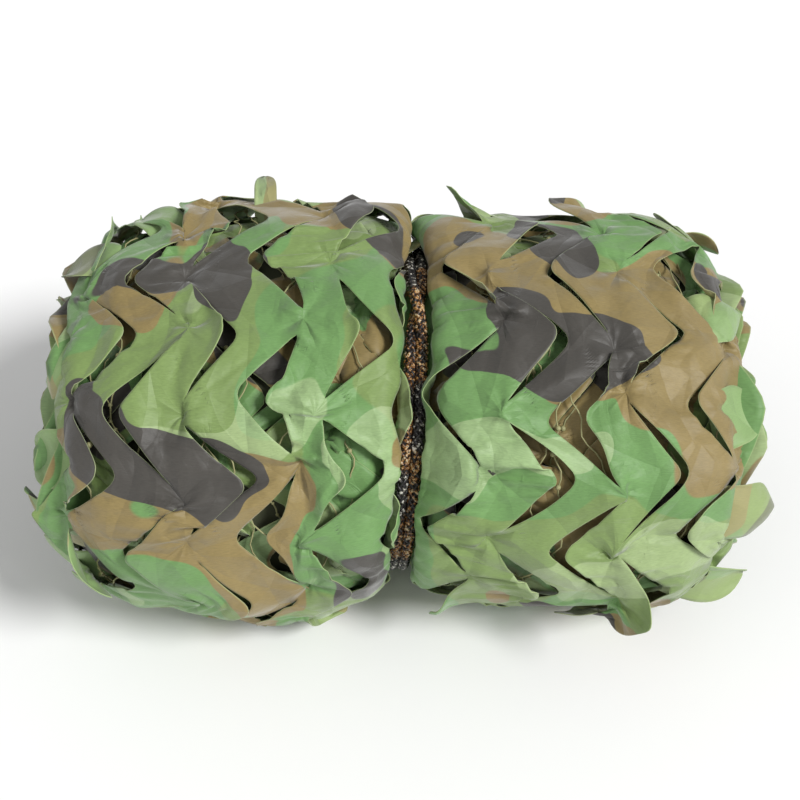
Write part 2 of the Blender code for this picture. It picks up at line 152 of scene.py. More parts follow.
def skin(along, turn):
    """A point of the smooth rolled cloth. The tie leans, and the cloth beside it leans with it."""
    x = np.interp(along, SAMPLES_ALONG, MERIDIAN_X)
    share = np.interp(along, SAMPLES_ALONG, MERIDIAN_SHARE) * uneven(along, turn)
    y, z = section(turn)
    near = 1.0 - smooth_step(np.abs(x), WAIST_CALM, WAIST_SWAY)
    place = TIE_X + x + near * WAIST_SLANT * (np.sin(turn) - 0.2)
    return np.stack(np.broadcast_arrays(place, y * share, CORE_HEIGHT + z * share), axis=-1)


def unit(vectors):
    return vectors / np.maximum(np.linalg.norm(vectors, axis=-1, keepdims=True), 1e-12)


def outward(along, turn):
    """The direction straight out of the cloth."""
    reach = 0.004
    over = skin(along + reach, turn) - skin(along - reach, turn)
    around = skin(along, turn + reach / MEAN_RADIUS) - skin(along, turn - reach / MEAN_RADIUS)
    return unit(np.cross(over, around))


def arc_per_radian(along, turn):
    """How long one radian round the roll is here, over the cloth."""
    step = 0.02
    return np.linalg.norm(skin(along, turn + step) - skin(along, turn - step), axis=-1) / (2 * step)


ALL_ROUND = np.linspace(0.0, 2.0 * math.pi, 360, endpoint=False)
GIRTH = float(arc_per_radian(np.full(360, 0.5 * WAIST), ALL_ROUND).mean()) * 2.0 * math.pi
print(f"girth of the left lobe at its middle: {GIRTH:.3f} m")

# %% [markdown]
# ## Where the tie runs
# The tie is one cord laid twice round the waist, so two strands lie side by side and cross once near the
# top. The cloth has to keep clear of it, so its place comes before the cloth.

# %% The tie's place
STRAND_RADIUS = 0.0040
STRAND_SPACING = 0.0072
TIE_CLEARANCE = 0.0004
CROSSING_ROUND = 84  # degrees round the roll where one strand crosses over the other
CROSSING_LENGTH = 44  # degrees
CLOTH_BESIDE = 0.0007  # room for the cloth's own thickness beside the strands
CLOTH_OVER = 0.0006  # and over them
PINNED_BELOW = 0.0095  # over the cloth from the tie: nearer than this it is held under the strands
IN_GROOVE = 0.0190  # and nearer than this it lies in the groove beside them


def tie_frame(turn):
    """The middle of the pair of strands, the ways along, out and across, and how far it has turned."""
    start = math.radians(CROSSING_ROUND - CROSSING_LENGTH / 2.0)
    twist = math.pi * smooth_step(turn % (2.0 * math.pi), start, start + math.radians(CROSSING_LENGTH))
    waist = np.full(turn.shape, WAIST)
    bed = skin(waist, turn)
    forward = unit(skin(waist, turn + 0.01) - skin(waist, turn - 0.01))
    out = unit(np.cross(forward, (1.0, 0.0, 0.0)))
    away = bed - (TIE_X, 0.0, CORE_HEIGHT)
    out = out * np.sign((out * away).sum(axis=-1, keepdims=True))
    half = STRAND_RADIUS + np.abs(np.sin(twist)) * STRAND_SPACING / 2.0
    middle = bed + out * (half + TIE_CLEARANCE)[..., None]
    return middle, forward, out, np.cross(forward, out), twist


def clear_of_tie(points, off, frame_here):
    """Pushes cloth out of the strands: sideways low in the groove, outwards where it lies over them."""
    middle, _, out, across, twist = frame_here
    half_wide = STRAND_RADIUS + np.abs(np.cos(twist)) * STRAND_SPACING / 2.0 + CLOTH_BESIDE
    half_high = STRAND_RADIUS + np.abs(np.sin(twist)) * STRAND_SPACING / 2.0 + CLOTH_OVER
    away = points - middle
    over = (away * across).sum(axis=-1)
    up = (away * out).sum(axis=-1)
    inside = (np.abs(over) < half_wide) & (up < half_high) & (off > PINNED_BELOW)
    sideways = inside & (off < IN_GROOVE)
    outwards = inside & ~sideways
    aside = np.where(sideways, np.sign(over) * half_wide - over, 0.0)
    rise = np.where(outwards, half_high - up, 0.0)
    return points + aside[..., None] * across + rise[..., None] * out


TIE_TOP = tie_frame(np.array([math.pi / 2.0]))[0][0, 2] + STRAND_RADIUS
print(f"the tie's top stands {TIE_TOP:.3f} m over the floor")

# %% [markdown]
# ## The print
# Such cloth is printed with four or five flat inks in rounded patches, some as wide as a hand. A drawing
# of the patches would be a picture. Noise gives the same kind of edge for nothing: a slow noise, bent by
# a second one, is cut at one level, and each ink takes what lies above it. A few soft spots push the
# noise up where the real cloth shows much of that ink, and down where it shows little. The pale green's
# spots beside the tie and low on the right lobe stand partly for ink and partly for painted sheen. The
# places are those of the flat cloth, kept as a UV map, so the print runs straight across a slit, as it
# does on cloth that is printed first and cut afterwards.

# %% A short way to write node trees
def add_node(tree, kind, inputs=None, **settings):
    """One node with its settings; an input given as a socket is linked."""
    made = tree.nodes.new(kind)
    for name, value in settings.items():
        setattr(made, name, value)
    for key, value in (inputs or {}).items():
        if isinstance(value, bpy.types.NodeSocket):
            tree.links.new(value, made.inputs[key])
        else:
            made.inputs[key].default_value = value
    return made


def maths(tree, operation, *values):
    return add_node(tree, "ShaderNodeMath", dict(enumerate(values)), operation=operation).outputs[0]


def vectors(tree, operation, *values):
    """Vector maths. SCALE takes a vector and a number. LENGTH and DISTANCE give a number."""
    places = (0, 3) if operation == "SCALE" else range(len(values))
    made = add_node(tree, "ShaderNodeVectorMath", dict(zip(places, values)), operation=operation)
    return made.outputs["Value" if operation in ("LENGTH", "DISTANCE") else "Vector"]


def noise(tree, place, scale, detail, **inputs):
    inputs = {"Vector": place, "Scale": scale, "Detail": detail, **inputs}
    return add_node(tree, "ShaderNodeTexNoise", inputs).outputs


def ranged(tree, value, low, high, to_low=0.0, to_high=1.0, kind="LINEAR"):
    """Takes what lies between the first two numbers to between the other two, and no further."""
    inputs = {"Value": value, "From Min": low, "From Max": high, "To Min": to_low, "To Max": to_high}
    return add_node(tree, "ShaderNodeMapRange", inputs, interpolation_type=kind).outputs["Result"]


def blend(tree, share, under, over):
    inputs = {"Factor": share, "A": under, "B": over}
    return add_node(tree, "ShaderNodeMix", inputs, data_type="RGBA").outputs["Result"]


def bump(tree, height, distance, strength=1.0, **inputs):
    inputs = {"Height": height, "Strength": strength, "Distance": distance, **inputs}
    return add_node(tree, "ShaderNodeBump", inputs).outputs["Normal"]


def new_material(name):
    material = bpy.data.materials.new(name)
    material.use_nodes = True
    return material, material.node_tree, material.node_tree.nodes["Principled BSDF"]


def plain_material(name, colour, roughness):
    material, _, shader = new_material(name)
    shader.inputs["Base Color"].default_value = colour
    shader.inputs["Roughness"].default_value = roughness
    return material


def linear(red, green, blue):
    """A colour given as on a screen, 0 to 255, as a linear one."""
    shares = np.array((red, green, blue)) / 255.0
    curve = np.where(shares <= 0.04045, shares / 12.92, ((shares + 0.055) / 1.055) ** 2.4)
    return (*curve.tolist(), 1.0)


# %% The inks and where they gather
GREEN = linear(101, 140, 80)
OLIVE = linear(115, 138, 78)
PALE_GREEN = linear(170, 188, 140)
TAN = linear(132, 115, 70)
DARK = linear(64, 61, 56)
PALE = linear(172, 186, 132)
INKS = (
    # name, colour, patches a metre, cut, how much it covers, soft spots: x, degrees round, size, push
    (
        "olive",
        OLIVE,
        9.0,
        0.53,
        1.0,
        ((-0.120, 62, 0.045, 0.12), (-0.070, 22, 0.040, 0.12), (0.050, -5, 0.050, 0.14)),
    ),
    (
        "pale green",
        PALE_GREEN,
        14.0,
        0.615,
        0.46,
        # Beside the tie and low on the right lobe these spots are partly painted sheen of the satin
        # facing the light.
        (
            (-0.075, 56, 0.030, 0.20),
            (-0.020, 30, 0.030, 0.22),
            (0.045, 40, 0.026, 0.20),
            (0.110, -12, 0.032, 0.18),
            (0.150, 4, 0.022, 0.16),
        ),
    ),
    (
        "tan",
        TAN,
        12.0,
        0.610,
        1.0,
        (
            (-0.105, 8, 0.050, 0.22),
            (-0.172, 2, 0.036, 0.22),
            (-0.120, 114, 0.060, 0.24),
            (-0.030, 106, 0.045, 0.24),
            (-0.160, 78, 0.022, 0.24),
            (0.170, 76, 0.066, 0.28),
            (0.105, 78, 0.040, 0.26),
            (0.085, 62, 0.030, 0.22),
            (0.050, 108, 0.030, 0.24),
            (0.186, 42, 0.052, 0.30),
            (0.062, -20, 0.018, 0.22),
            (0.150, -26, 0.022, 0.22),
            (-0.060, 56, 0.060, -0.26),
            (0.040, 30, 0.070, -0.28),
            (0.110, 6, 0.050, -0.20),
        ),
    ),
    (
        "dark",
        DARK,
        14.0,
        0.640,
        1.0,
        (
            (-0.184, 48, 0.026, 0.26),
            (-0.158, 33, 0.030, 0.26),
            (-0.112, 31, 0.032, 0.26),
            (-0.075, 30, 0.022, 0.22),
            (-0.155, 90, 0.028, 0.26),
            (-0.108, 96, 0.022, 0.24),
            (0.058, 97, 0.026, 0.26),
            (0.100, 100, 0.026, 0.26),
            (0.062, 78, 0.022, 0.24),
            (0.108, 66, 0.026, 0.26),
            (0.150, 64, 0.030, 0.26),
            (0.108, -34, 0.024, 0.26),
            (-0.040, 60, 0.060, -0.26),
            (0.030, 20, 0.080, -0.28),
            (0.150, 24, 0.060, -0.28),
            (-0.130, 62, 0.030, -0.16),
        ),
    ),
)
WARP_SIZE = 0.040  # how far the second noise bends the edges
WARP_SCALE = 17.0  # its waves a metre
INK_EDGE = 0.0025  # half the span of noise over which an ink sets in: small is crisp
print("inks over green:", ", ".join(ink[0] for ink in INKS))


# %% The print as a node group
def print_place(x, degrees_round):
    """The flat place of a spot that shows at x and at an angle round the roll."""
    along = float(np.interp(x - TIE_X, MERIDIAN[:, 0], ALONG))
    return along, math.radians(360.0 + degrees_round) * MEAN_RADIUS


def print_group():
    """The inks as one group, so that both faces and every piece share one print."""
    tree = bpy.data.node_groups.new("camouflage print", "ShaderNodeTree")
    tree.interface.new_socket("Color", in_out="OUTPUT", socket_type="NodeSocketColor")
    flat = add_node(tree, "ShaderNodeUVMap", uv_map="flat").outputs["UV"]
    centred = vectors(tree, "SUBTRACT", noise(tree, flat, WARP_SCALE, 1.2)["Color"], (0.5, 0.5, 0.5))
    bent = vectors(tree, "MULTIPLY_ADD", centred, (WARP_SIZE, WARP_SIZE, 0.0), flat)
    colour = GREEN
    for number, (_, ink, patches, cut, covers, spots) in enumerate(INKS):
        moved = vectors(tree, "ADD", bent, (3.7 * number + 1.1, 1.9 * number, 0.0))
        level = noise(tree, moved, patches, 0.6, Roughness=0.4)["Fac"]
        for x, degrees_round, size, push in spots:
            away = vectors(tree, "DISTANCE", bent, (*print_place(x, degrees_round), 0.0))
            share = ranged(tree, away, 1.5 * size, 0.3 * size, 0.0, push, kind="SMOOTHSTEP")
            level = maths(tree, "ADD", level, share)
        mask = ranged(tree, level, cut - INK_EDGE, cut + INK_EDGE, 0.0, covers)
        colour = blend(tree, mask, colour, ink)
    tree.links.new(colour, tree.nodes.new("NodeGroupOutput").inputs["Color"])
    return tree


PRINT = print_group()
print("the print has", len(PRINT.nodes), "nodes")

# %% [markdown]
# ## The cloth's surface
# The cloth has a satin face with a fine weave and hundreds of small hard creases. They are too small to
# be geometry, so they are bump: a stretched noise for the threads, the borders of cells for flat facets,
# ridged noise for the small creases, and a star of folds where the string pulls at each bridge of cloth.
# The reverse is paler, because the ink doesn't go through. The cut edge is paler for the same reason, and
# also carries a painted highlight where light catches it.

# %% How the cloth is creased
FACETS = ((14.0, 0.21), (42.0, 0.06))  # cells a metre and the slope of their flat sides
SMALL_CREASES = ((22.0, 0.0056), (60.0, 0.0012))  # creases a metre and height
STAR_RAYS = ((0.62, 1.3), (1.3, -0.3))  # how many folds leave a bridge, and how steep
STAR_CHANGE = 40.0  # how much the folds of one bridge differ from those of the next
WEAVE_THREADS = (420.0, 2600.0, 1.0)  # a metre, one way and the other
WEAVE_GLINT_THREADS = (260.0, 1500.0, 1.0)  # the same for a painted glint of the weave, lighter and darker along the threads
WEAVE_DEPTH = 0.0002


def folded_edge(tree, place, scale, detail):
    """Noise folded over at its middle: the folds are ridges."""
    fold = noise(tree, place, scale, detail)["Fac"]
    return maths(tree, "ABSOLUTE", maths(tree, "SUBTRACT", fold, 0.5))


def thread_noise(tree, flat, threads):
    stretched = add_node(tree, "ShaderNodeMapping", {"Vector": flat, "Scale": threads}).outputs[0]
    return noise(tree, stretched, 1.0, 1.0)["Fac"]


def star_of_folds(tree, flat):
    """A height that fans out from each bridge, read from the attribute that points away from it."""
    bridge = add_node(tree, "ShaderNodeAttribute", attribute_name="from_bridge").outputs["Vector"]
    parts = add_node(tree, "ShaderNodeSeparateXYZ", {"Vector": bridge}).outputs
    level = add_node(tree, "ShaderNodeCombineXYZ", {"X": parts["X"], "Y": parts["Y"]}).outputs[0]
    away = vectors(tree, "LENGTH", level)
    centre = vectors(tree, "SCALE", vectors(tree, "SUBTRACT", flat, level), STAR_CHANGE)
    way = vectors(tree, "NORMALIZE", level)
    star = None
    for rays, share in STAR_RAYS:
        turned = vectors(tree, "ADD", vectors(tree, "SCALE", way, rays), centre)
        ray = maths(tree, "MULTIPLY", folded_edge(tree, turned, 1.0, 0.0), share)
        star = ray if star is None else maths(tree, "ADD", star, ray)
    return maths(tree, "MULTIPLY", maths(tree, "MULTIPLY", star, away), parts["Z"])


def creases(tree, flat):
    """The normal of cloth with threads, flat facets, small creases and a star at each bridge."""
    normal = bump(tree, thread_noise(tree, flat, WEAVE_THREADS), WEAVE_DEPTH, strength=0.5)
    for scale, slope in FACETS:
        cells = {"Vector": flat, "Scale": scale}
        cells = add_node(tree, "ShaderNodeTexVoronoi", cells, feature="DISTANCE_TO_EDGE")
        normal = bump(tree, cells.outputs["Distance"], slope / scale, Normal=normal)
    for scale, height in SMALL_CREASES:
        normal = bump(tree, folded_edge(tree, flat, scale, 0.5), height, Normal=normal)
    return bump(tree, star_of_folds(tree, flat), 1.0, Normal=normal)


# %% Cloth materials
CLOTH_ROUGHNESS = 0.52
CLOTH_SPECULAR = 0.42
CLOTH_SHEEN = 0.22
EDGE_PALE_AND_HIGHLIGHT = 0.55  # how pale the cloth is right at a cut: bare fibres, and a painted highlight along the edge


def cloth_material(name, paler, edge_only=False):
    """The printed cloth, with a share of the pale base; more near a cut, partly as a painted highlight.
    """
    material, tree, shader = new_material(name)
    colour = add_node(tree, "ShaderNodeGroup", node_tree=PRINT).outputs["Color"]
    flat = add_node(tree, "ShaderNodeUVMap", uv_map="flat").outputs["UV"]
    clouds = ranged(tree, noise(tree, flat, 30.0, 4.0)["Fac"], 0.3, 0.7, 0.90, 1.10)
    # Painted glint of the weave: the colour is lighter and darker along the threads.
    weave_glint = ranged(tree, thread_noise(tree, flat, WEAVE_GLINT_THREADS), 0.3, 0.7, 0.91, 1.09)
    toned = vectors(tree, "SCALE", colour, maths(tree, "MULTIPLY", clouds, weave_glint))
    share = paler
    if not edge_only:
        # Near a cut the pale base shows more: bare fibres, and a painted highlight along the edge.
        edge = add_node(tree, "ShaderNodeAttribute", attribute_name="cut_edge").outputs["Fac"]
        share = ranged(tree, edge, 0.80, 1.0, paler, EDGE_PALE_AND_HIGHLIGHT)
    tree.links.new(blend(tree, share, toned, PALE), shader.inputs["Base Color"])
    shader.inputs["Roughness"].default_value = CLOTH_ROUGHNESS
    shader.inputs["Specular IOR Level"].default_value = CLOTH_SPECULAR
    shader.inputs["Sheen Weight"].default_value = CLOTH_SHEEN
    tree.links.new(creases(tree, flat), shader.inputs["Normal"])
    return material


cloth_face = cloth_material("camouflage cloth face", 0.0)
cloth_back = cloth_material("camouflage cloth reverse", 0.30)
# The wall at each cut is paler: bare fibres, and a painted highlight where light catches it.
cloth_edge = cloth_material("camouflage cloth cut edge", 0.60, edge_only=True)
# The packed cloth's plain dark colour is painted shade: the deep turns carry the same print as the rest.
packed_cloth_in_painted_shade = plain_material("packed cloth in painted shade", linear(70, 74, 52), 0.8)
print("cloth:", cloth_face.name, "and its reverse and edge")

# %% [markdown]
# ## The cut sheet
# The net is one flat sheet with slits along zigzag lines, one line every 36 mm. Each slit runs round
# one bend and stops short of the next, so a bridge of cloth is left there. Neighbouring lines are cut
# round opposite bends. Modelling every leaf by hand would give hundreds of unlike patches. Instead the
# sheet is laid out flat as strips between the lines. Where a line is slit, the two strips keep their own
# edge. Where there is a bridge they share it.

# %% The cutting plan
STRIP = 0.0365  # from one line of cuts to the next, as the net lies on the roll
STRIP_CUT = 0.0352  # the same as it was cut: the rest of it is the gape of the slits
FIRST_LINE = 0.050
RIM_MARGIN = 0.012
LEAF_START = math.radians(-12)
LEAVES_ROUND = 9
LEAF_ANGLE = 2.0 * math.pi / LEAVES_ROUND
ZIGZAG = 0.0190  # how far each line swings to either side
BEND_ROUNDING = 0.27  # share of each arm that belongs to the round of its bend
SLIT_SHARE = 0.42  # of a leaf to either side of a bend, where its slit ends
WAIST_REACH = 0.010  # over the cloth from the tie: no cuts nearer than this
WAIST_FREE = 0.034  # and from here on the cuts are as anywhere else
CUT_FROM = 0.3  # a line is cut where its share of calm is over this
PHASE_STEP = 23.0  # leaves a metre by which a shifted sheet is also turned on
WANDER = ((0.0034, 2.0, 1.9, 1.0), (0.0022, 5.0, -2.3, 0.0))  # size, waves round, by line, by seed
STAR_REACH = 0.0215  # how far the folds run out from a bridge
SHUT_BELOW = -0.97  # height over half the section's height, under which no leaf opens
OPEN_ABOVE = -0.70  # and over which every leaf is free to open
print(f"{LEAVES_ROUND} leaves round the roll, one line of cuts every {STRIP * 1000:.1f} mm")


def swing(phase):
    """A zigzag of straight arms with round bends: -1 at half a leaf, where its bends point left."""
    triangle = 1.0 - 4.0 * np.abs((phase + 0.5) % 1.0 - 0.5)
    into_bend = np.maximum(np.abs(triangle) - (1.0 - BEND_ROUNDING), 0.0)
    rounded = np.abs(triangle) - into_bend**2 / (2.0 * BEND_ROUNDING)
    return np.sign(triangle) * rounded / (1.0 - BEND_ROUNDING / 2.0)


def towards_bridges(along, bridge_along, around, calm):
    """From each point to the nearer of the two bridges beside it, and how near: 0 is out of reach."""
    options = []
    for number in (slice(None, -1), slice(1, None)):
        over = along - bridge_along[number][:, None, :]
        round_it = np.broadcast_to(around[number][:, None, :], over.shape)
        near = 1.0 - smooth_step(np.hypot(over, round_it), 0.25 * STAR_REACH, STAR_REACH)
        near = near * (calm[number] > CUT_FROM)[:, None, None]
        options.append(np.stack((over, round_it, near), axis=-1))
    return np.where(options[0][..., 2:] > options[1][..., 2:], options[0], options[1])


def cutting_plan(first_turn, leaves, columns, rows_per_leaf, shift=0.0, seed=1):
    """The flat sheet: strips x columns x rows, each point's place over the cloth and round the roll."""
    rng = np.random.default_rng(seed)
    first = math.ceil((RIM_MARGIN - WAIST - FIRST_LINE - shift) / STRIP) - 1
    last = math.floor((CLOTH_WIDTH - RIM_MARGIN - WAIST - FIRST_LINE - shift) / STRIP) + 1
    lines = np.arange(first, last + 1)
    turn = first_turn + np.arange(int(leaves * rows_per_leaf) + 1) * LEAF_ANGLE / rows_per_leaf
    phase = (turn - LEAF_START) / LEAF_ANGLE + PHASE_STEP * shift
    place = WAIST + FIRST_LINE + shift + lines * STRIP
    place[np.argmin(np.abs(place - WAIST))] = WAIST  # one line, which isn't cut, lies under the tie
    calm = smooth_step(np.abs(place - WAIST), WAIST_REACH, WAIST_FREE)
    by_line = lines[:, None]
    wander = sum(
        size * np.sin(waves * turn + line_share * by_line + seed_share * seed)
        for size, waves, line_share, seed_share in WANDER
    )
    phase = phase + 0.06 * np.sin(1.7 * by_line + seed) + 0.03 * np.sin(3.0 * turn + 2.9 * by_line)
    line_along = place[:, None] + calm[:, None] * (ZIGZAG * swing(phase) + wander)
    from_centre = phase - np.where(lines % 2 == 0, 0.5, 0.0)[:, None]
    off_bend = (from_centre + 0.5) % 1.0 - 0.5
    leaf = np.floor(from_centre + 0.5).astype(int)
    leaf = leaf - leaf.min()
    bridge = np.floor(from_centre).astype(int)
    bridge = bridge - bridge.min()
    slit_end = rng.uniform(SLIT_SHARE - 0.05, SLIT_SHARE + 0.02, (len(lines), leaf.max() + 1))
    slit_end = np.take_along_axis(slit_end, leaf, axis=1)
    share = np.linspace(0.0, 1.0, columns + 1)[None, :, None]
    along = line_along[:-1, None, :] * (1.0 - share) + line_along[1:, None, :] * share
    side = np.where(lines % 2 == 0, 1.0, -1.0) * ZIGZAG * calm
    bridge_along = (place + side)[:, None] + calm[:, None] * wander
    around = (from_centre % 1.0 - 0.5) * LEAF_ANGLE * MEAN_RADIUS
    return {
        "from_bridge": towards_bridges(along, bridge_along, around, calm),
        "lines": lines,
        "calm": calm,
        "turn": turn,
        "off_bend": off_bend,
        "leaf": leaf,
        "bridge": bridge,
        "slit": (np.abs(off_bend) < slit_end) & (calm[:, None] > CUT_FROM),
        "share": share,
        "along": along,
        "rng": rng,
        "shift": shift,
    }


# %% [markdown]
# ## Letting the cloth settle
# A printed sheet hardly stretches, but it bends and creases freely. Folds drawn by hand would stretch
# it somewhere. So each point is first put near its place on the roll, with the corners of the leaves
# lifted by a random amount. Then short rounds pull every neighbouring pair back to its length in the
# flat sheet. Bridges are held near their places by the string, nothing may sink into the turn below,
# and the creases that run from bridge to bridge come out by themselves. It is Blender's cloth in
# miniature, written in numpy, because each slit needs two edges of its own and the result has to be the
# same each time.

# %% Rounds that pull the cloth back to its cut size
BEND_STIFFNESS = 0.02  # share of a wrong length that one round puts right, two points apart
ACROSS_STIFFNESS = 0.5  # and corner to corner


def neighbour_pairs(shape):
    """Slices of two sets of points that are neighbours, in groups in which no point occurs twice."""
    columns, rows = shape[1:]
    every = slice(None)
    pairs = []
    for reach, stiffness in ((1, 1.0), (2, BEND_STIFFNESS)):
        for start in range(2 * reach):
            for axis, count in ((1, columns), (2, rows)):
                groups = len(range(start, count - reach, 2 * reach))
                low = slice(start, start + 2 * reach * groups, 2 * reach)
                high = slice(start + reach, start + reach + 2 * reach * groups, 2 * reach)
                # Two steps apart, every other point is picked, so its twin beside it gets its own turn.
                if axis == 1:
                    pairs.append(((every, low), (every, high), stiffness))
                else:
                    pairs.append(((every, every, low), (every, every, high), stiffness))
    for start in (0, 1):
        groups = len(range(start, columns - 1, 2))
        low = slice(start, start + 2 * groups, 2)
        high = slice(start + 1, start + 1 + 2 * groups, 2)
        early, late = slice(0, rows - 1), slice(1, rows)
        pairs.append(((every, low, early), (every, high, late), ACROSS_STIFFNESS))
        pairs.append(((every, low, late), (every, high, early), ACROSS_STIFFNESS))
    return pairs


def flat_lengths(plan, pairs, slack):
    """The distance between each pair in the flat sheet."""
    along, cut_along = plan["along"], plan["cut_along"]
    turn = np.broadcast_to(plan["turn"], along.shape)
    radius = arc_per_radian(along, turn) * slack
    lengths = []
    for first, second, _ in pairs:
        over = cut_along[second] - cut_along[first]
        around = (turn[second] - turn[first]) * 0.5 * (radius[first] + radius[second])
        lengths.append(np.hypot(over, around))
    return lengths


def settle(points, plan, goal, rounds):
    """Moves the points until the sheet has its flat lengths again."""
    pairs = neighbour_pairs(points.shape[:3])
    lengths = flat_lengths(plan, pairs, goal["slack"])
    shared = ~plan["slit"][1:-1]
    for _ in range(rounds):
        for (first, second, stiffness), length in zip(pairs, lengths):
            gap = points[second] - points[first]
            now = np.sqrt((gap * gap).sum(axis=-1))
            gap *= (0.5 * stiffness * (1.0 - length / np.maximum(now, 1e-7)))[..., None]
            points[first] += gap
            points[second] -= gap
        both = 0.5 * (points[:-1, -1] + points[1:, 0])
        points[:-1, -1][shared] = both[shared]
        points[1:, 0][shared] = both[shared]
        points += (goal["held_at"] - points) * goal["hold"]
        height = ((points - goal["bed"]) * goal["normal"]).sum(axis=-1)
        move = (goal["height"] - height) * goal["spring"]
        move = np.maximum(move, goal["least"] - height)
        points += goal["normal"] * move[..., None]
        points[..., 2] = np.maximum(points[..., 2], goal["floor"])
        beside = goal["beside_tie"]
        points[beside] = clear_of_tie(points[beside], goal["off_tie"], goal["tie_frame"])
    return points


# %% [markdown]
# ## How the leaves stand
# The string pulls on the bridges, so creases run straight from bridge to bridge. They divide each strip
# into triangles. A triangle whose base is a slit is a leaf: it stands up along a ridge from its root to
# its tip. The triangle across the slit is a notch and stays low, so a dark hollow shows between them.
# Each leaf gets its own height, tilt and curl, and how far its tip is pulled back, from one seeded
# generator. Some leaves lie flat, some stand up by a finger's width.

# %% Heights that the leaves want
LEAST_CLEAR = 0.0014  # a leaf's tip lies at least this far over the strip beside it
DEEPEST = -0.0040  # how far the cloth may sink under its smooth bed
PLEAT = 0.0010  # depth of the gathers beside the tie
PLEATS_ROUND = 46.0
MOST_TILT = 1.2  # how much higher one side of a leaf stands than its ridge
CURL_SPREAD = 0.45
NOTCH_HEIGHTS = (-0.0035, 0.0030)


def leaf_lifts(rng, size, lifts):
    """Most leaves lie low, some stand, a few stand well up: lifts holds the least and most of each."""
    kind = rng.uniform(0.0, 1.0, size)
    part = rng.uniform(0.0, 1.0, size)
    lift = np.zeros(size)
    for share_from, share_to, least, most in lifts:
        pick = (kind >= share_from) & (kind < share_to)
        lift[pick] = (least + (most - least) * part)[pick]
    return lift


def leaf_share(along, turn):
    """How much of its lift a leaf keeps: less on top, at the rims and by the tie, more low down."""
    up = np.sin(turn)
    to_rim = np.minimum(along, CLOTH_WIDTH - along)
    share = 1.0 - 0.75 * (1.0 - smooth_step(to_rim, 0.025, 0.080)) * smooth_step(up, 0.1, 0.6)
    share = share * (1.0 - 0.35 * smooth_step(up, 0.45, 0.8))
    low_end = (1.0 - smooth_step(to_rim, 0.02, 0.07)) * (1.0 - smooth_step(up, -0.1, 0.3))
    share = share * (1.0 + 0.6 * low_end)
    near_tie = 1.0 - smooth_step(np.abs(along - WAIST), 0.030, 0.055)
    return share * (1.0 - 0.7 * near_tie * smooth_step(up, 0.3, 0.7))


def puffed_cloth(along, turn, puff):
    """The slow waves of slack cloth, and the gathers beside the tie."""
    wave = np.sin(11.0 * turn + 70.0 * along) * np.sin(7.0 * turn - 95.0 * along)
    off_tie = np.abs(along - WAIST)
    gathered = smooth_step(off_tie, 0.010, 0.016) * (1.0 - smooth_step(off_tie, 0.024, 0.052))
    pleats = np.sin(PLEATS_ROUND * turn + 7.0 * np.sin(3.0 * turn) + np.sign(along - WAIST))
    return puff * (0.5 + 0.5 * wave) + PLEAT * gathered * pleats


def leaf_heights(plan, lifts, puff, gape):
    """How far each point wants to stand off the turn below, and how low it may go."""
    rng, shape = plan["rng"], plan["along"].shape
    turn = np.broadcast_to(plan["turn"], shape)
    height = puffed_cloth(plan["along"], turn, puff)
    kept = leaf_share(plan["along"], turn)
    least = np.full(shape, DEEPEST)
    cut_along = plan["along"] * (STRIP_CUT / STRIP)
    off, slit, leaf = plan["off_bend"], plan["slit"], plan["leaf"]
    clear = smooth_step(np.sin(plan["turn"]), SHUT_BELOW, OPEN_ABOVE)
    size = (len(plan["lines"]), leaf.max() + 1)
    lift = leaf_lifts(rng, size, lifts)
    tilt = rng.uniform(-1.0, 1.0, size)
    curl = rng.normal(0.0, CURL_SPREAD, size)
    notch = rng.uniform(*NOTCH_HEIGHTS, size)
    pull = gape * np.clip(rng.uniform(-1.2, 1.0, size), 0.0, 1.0) ** 1.3
    pull_notch = 0.4 * gape * np.clip(rng.uniform(-1.5, 1.0, size), 0.0, 1.0)
    away = plan["share"][0]
    for number, line in enumerate(plan["lines"]):
        pick = leaf[number]
        calm = plan["calm"][number]
        off_here = np.abs(off[number])
        skew = 1.0 + MOST_TILT * tilt[number][pick] * off[number] / 0.4
        points_left = line % 2 == 0
        leafy, hollow = (number, number - 1) if points_left else (number - 1, number)
        from_slit, side = (away, 1.0) if points_left else (1.0 - away, -1.0)
        open_share = (1.0 - smooth_step(off_here, 0.10, 0.47)) * (clear * calm * slit[number])
        if 0 <= leafy < shape[0]:
            inside = np.clip(1.0 - from_slit - 2.0 * off_here, 0.0, 1.0) * clear * calm
            bent_up = inside + curl[number][pick] * np.clip(inside - 0.55, 0.0, 1.0) ** 1.5 * 2.2
            height[leafy] += lift[number][pick] * bent_up * skew * kept[leafy]
            rise = LEAST_CLEAR * open_share * np.clip(1.0 - 4.0 * from_slit, 0.0, 1.0)
            least[leafy] = np.where(rise > 0.0002, np.maximum(least[leafy], rise), least[leafy])
            cut_along[leafy] += side * pull[number][pick] * open_share * (1.0 - from_slit) ** 1.5
        if 0 <= hollow < shape[0]:
            back = 1.0 - from_slit
            inside = np.clip(1.0 - back - 2.0 * off_here, 0.0, 1.0) * clear
            height[hollow] += notch[number][pick] * inside * calm
            cut_along[hollow] -= side * pull_notch[number][pick] * open_share * (1.0 - back) ** 2
    plan["cut_along"] = cut_along
    return height, least


# %% [markdown]
# ## From points to a sheet
# The settled points become one mesh. Points on a bridge are shared, the two edges of a slit are not. A
# wall of half a millimetre makes it cloth with two faces and real cut edges. The attribute cut_edge
# marks the edge of each cut, where the print is paler, partly as a painted highlight along the edge.

# %% Build a mesh from a settled sheet
def new_object(name, mesh):
    thing = bpy.data.objects.new(name, mesh)
    bpy.context.scene.collection.objects.link(thing)
    return thing


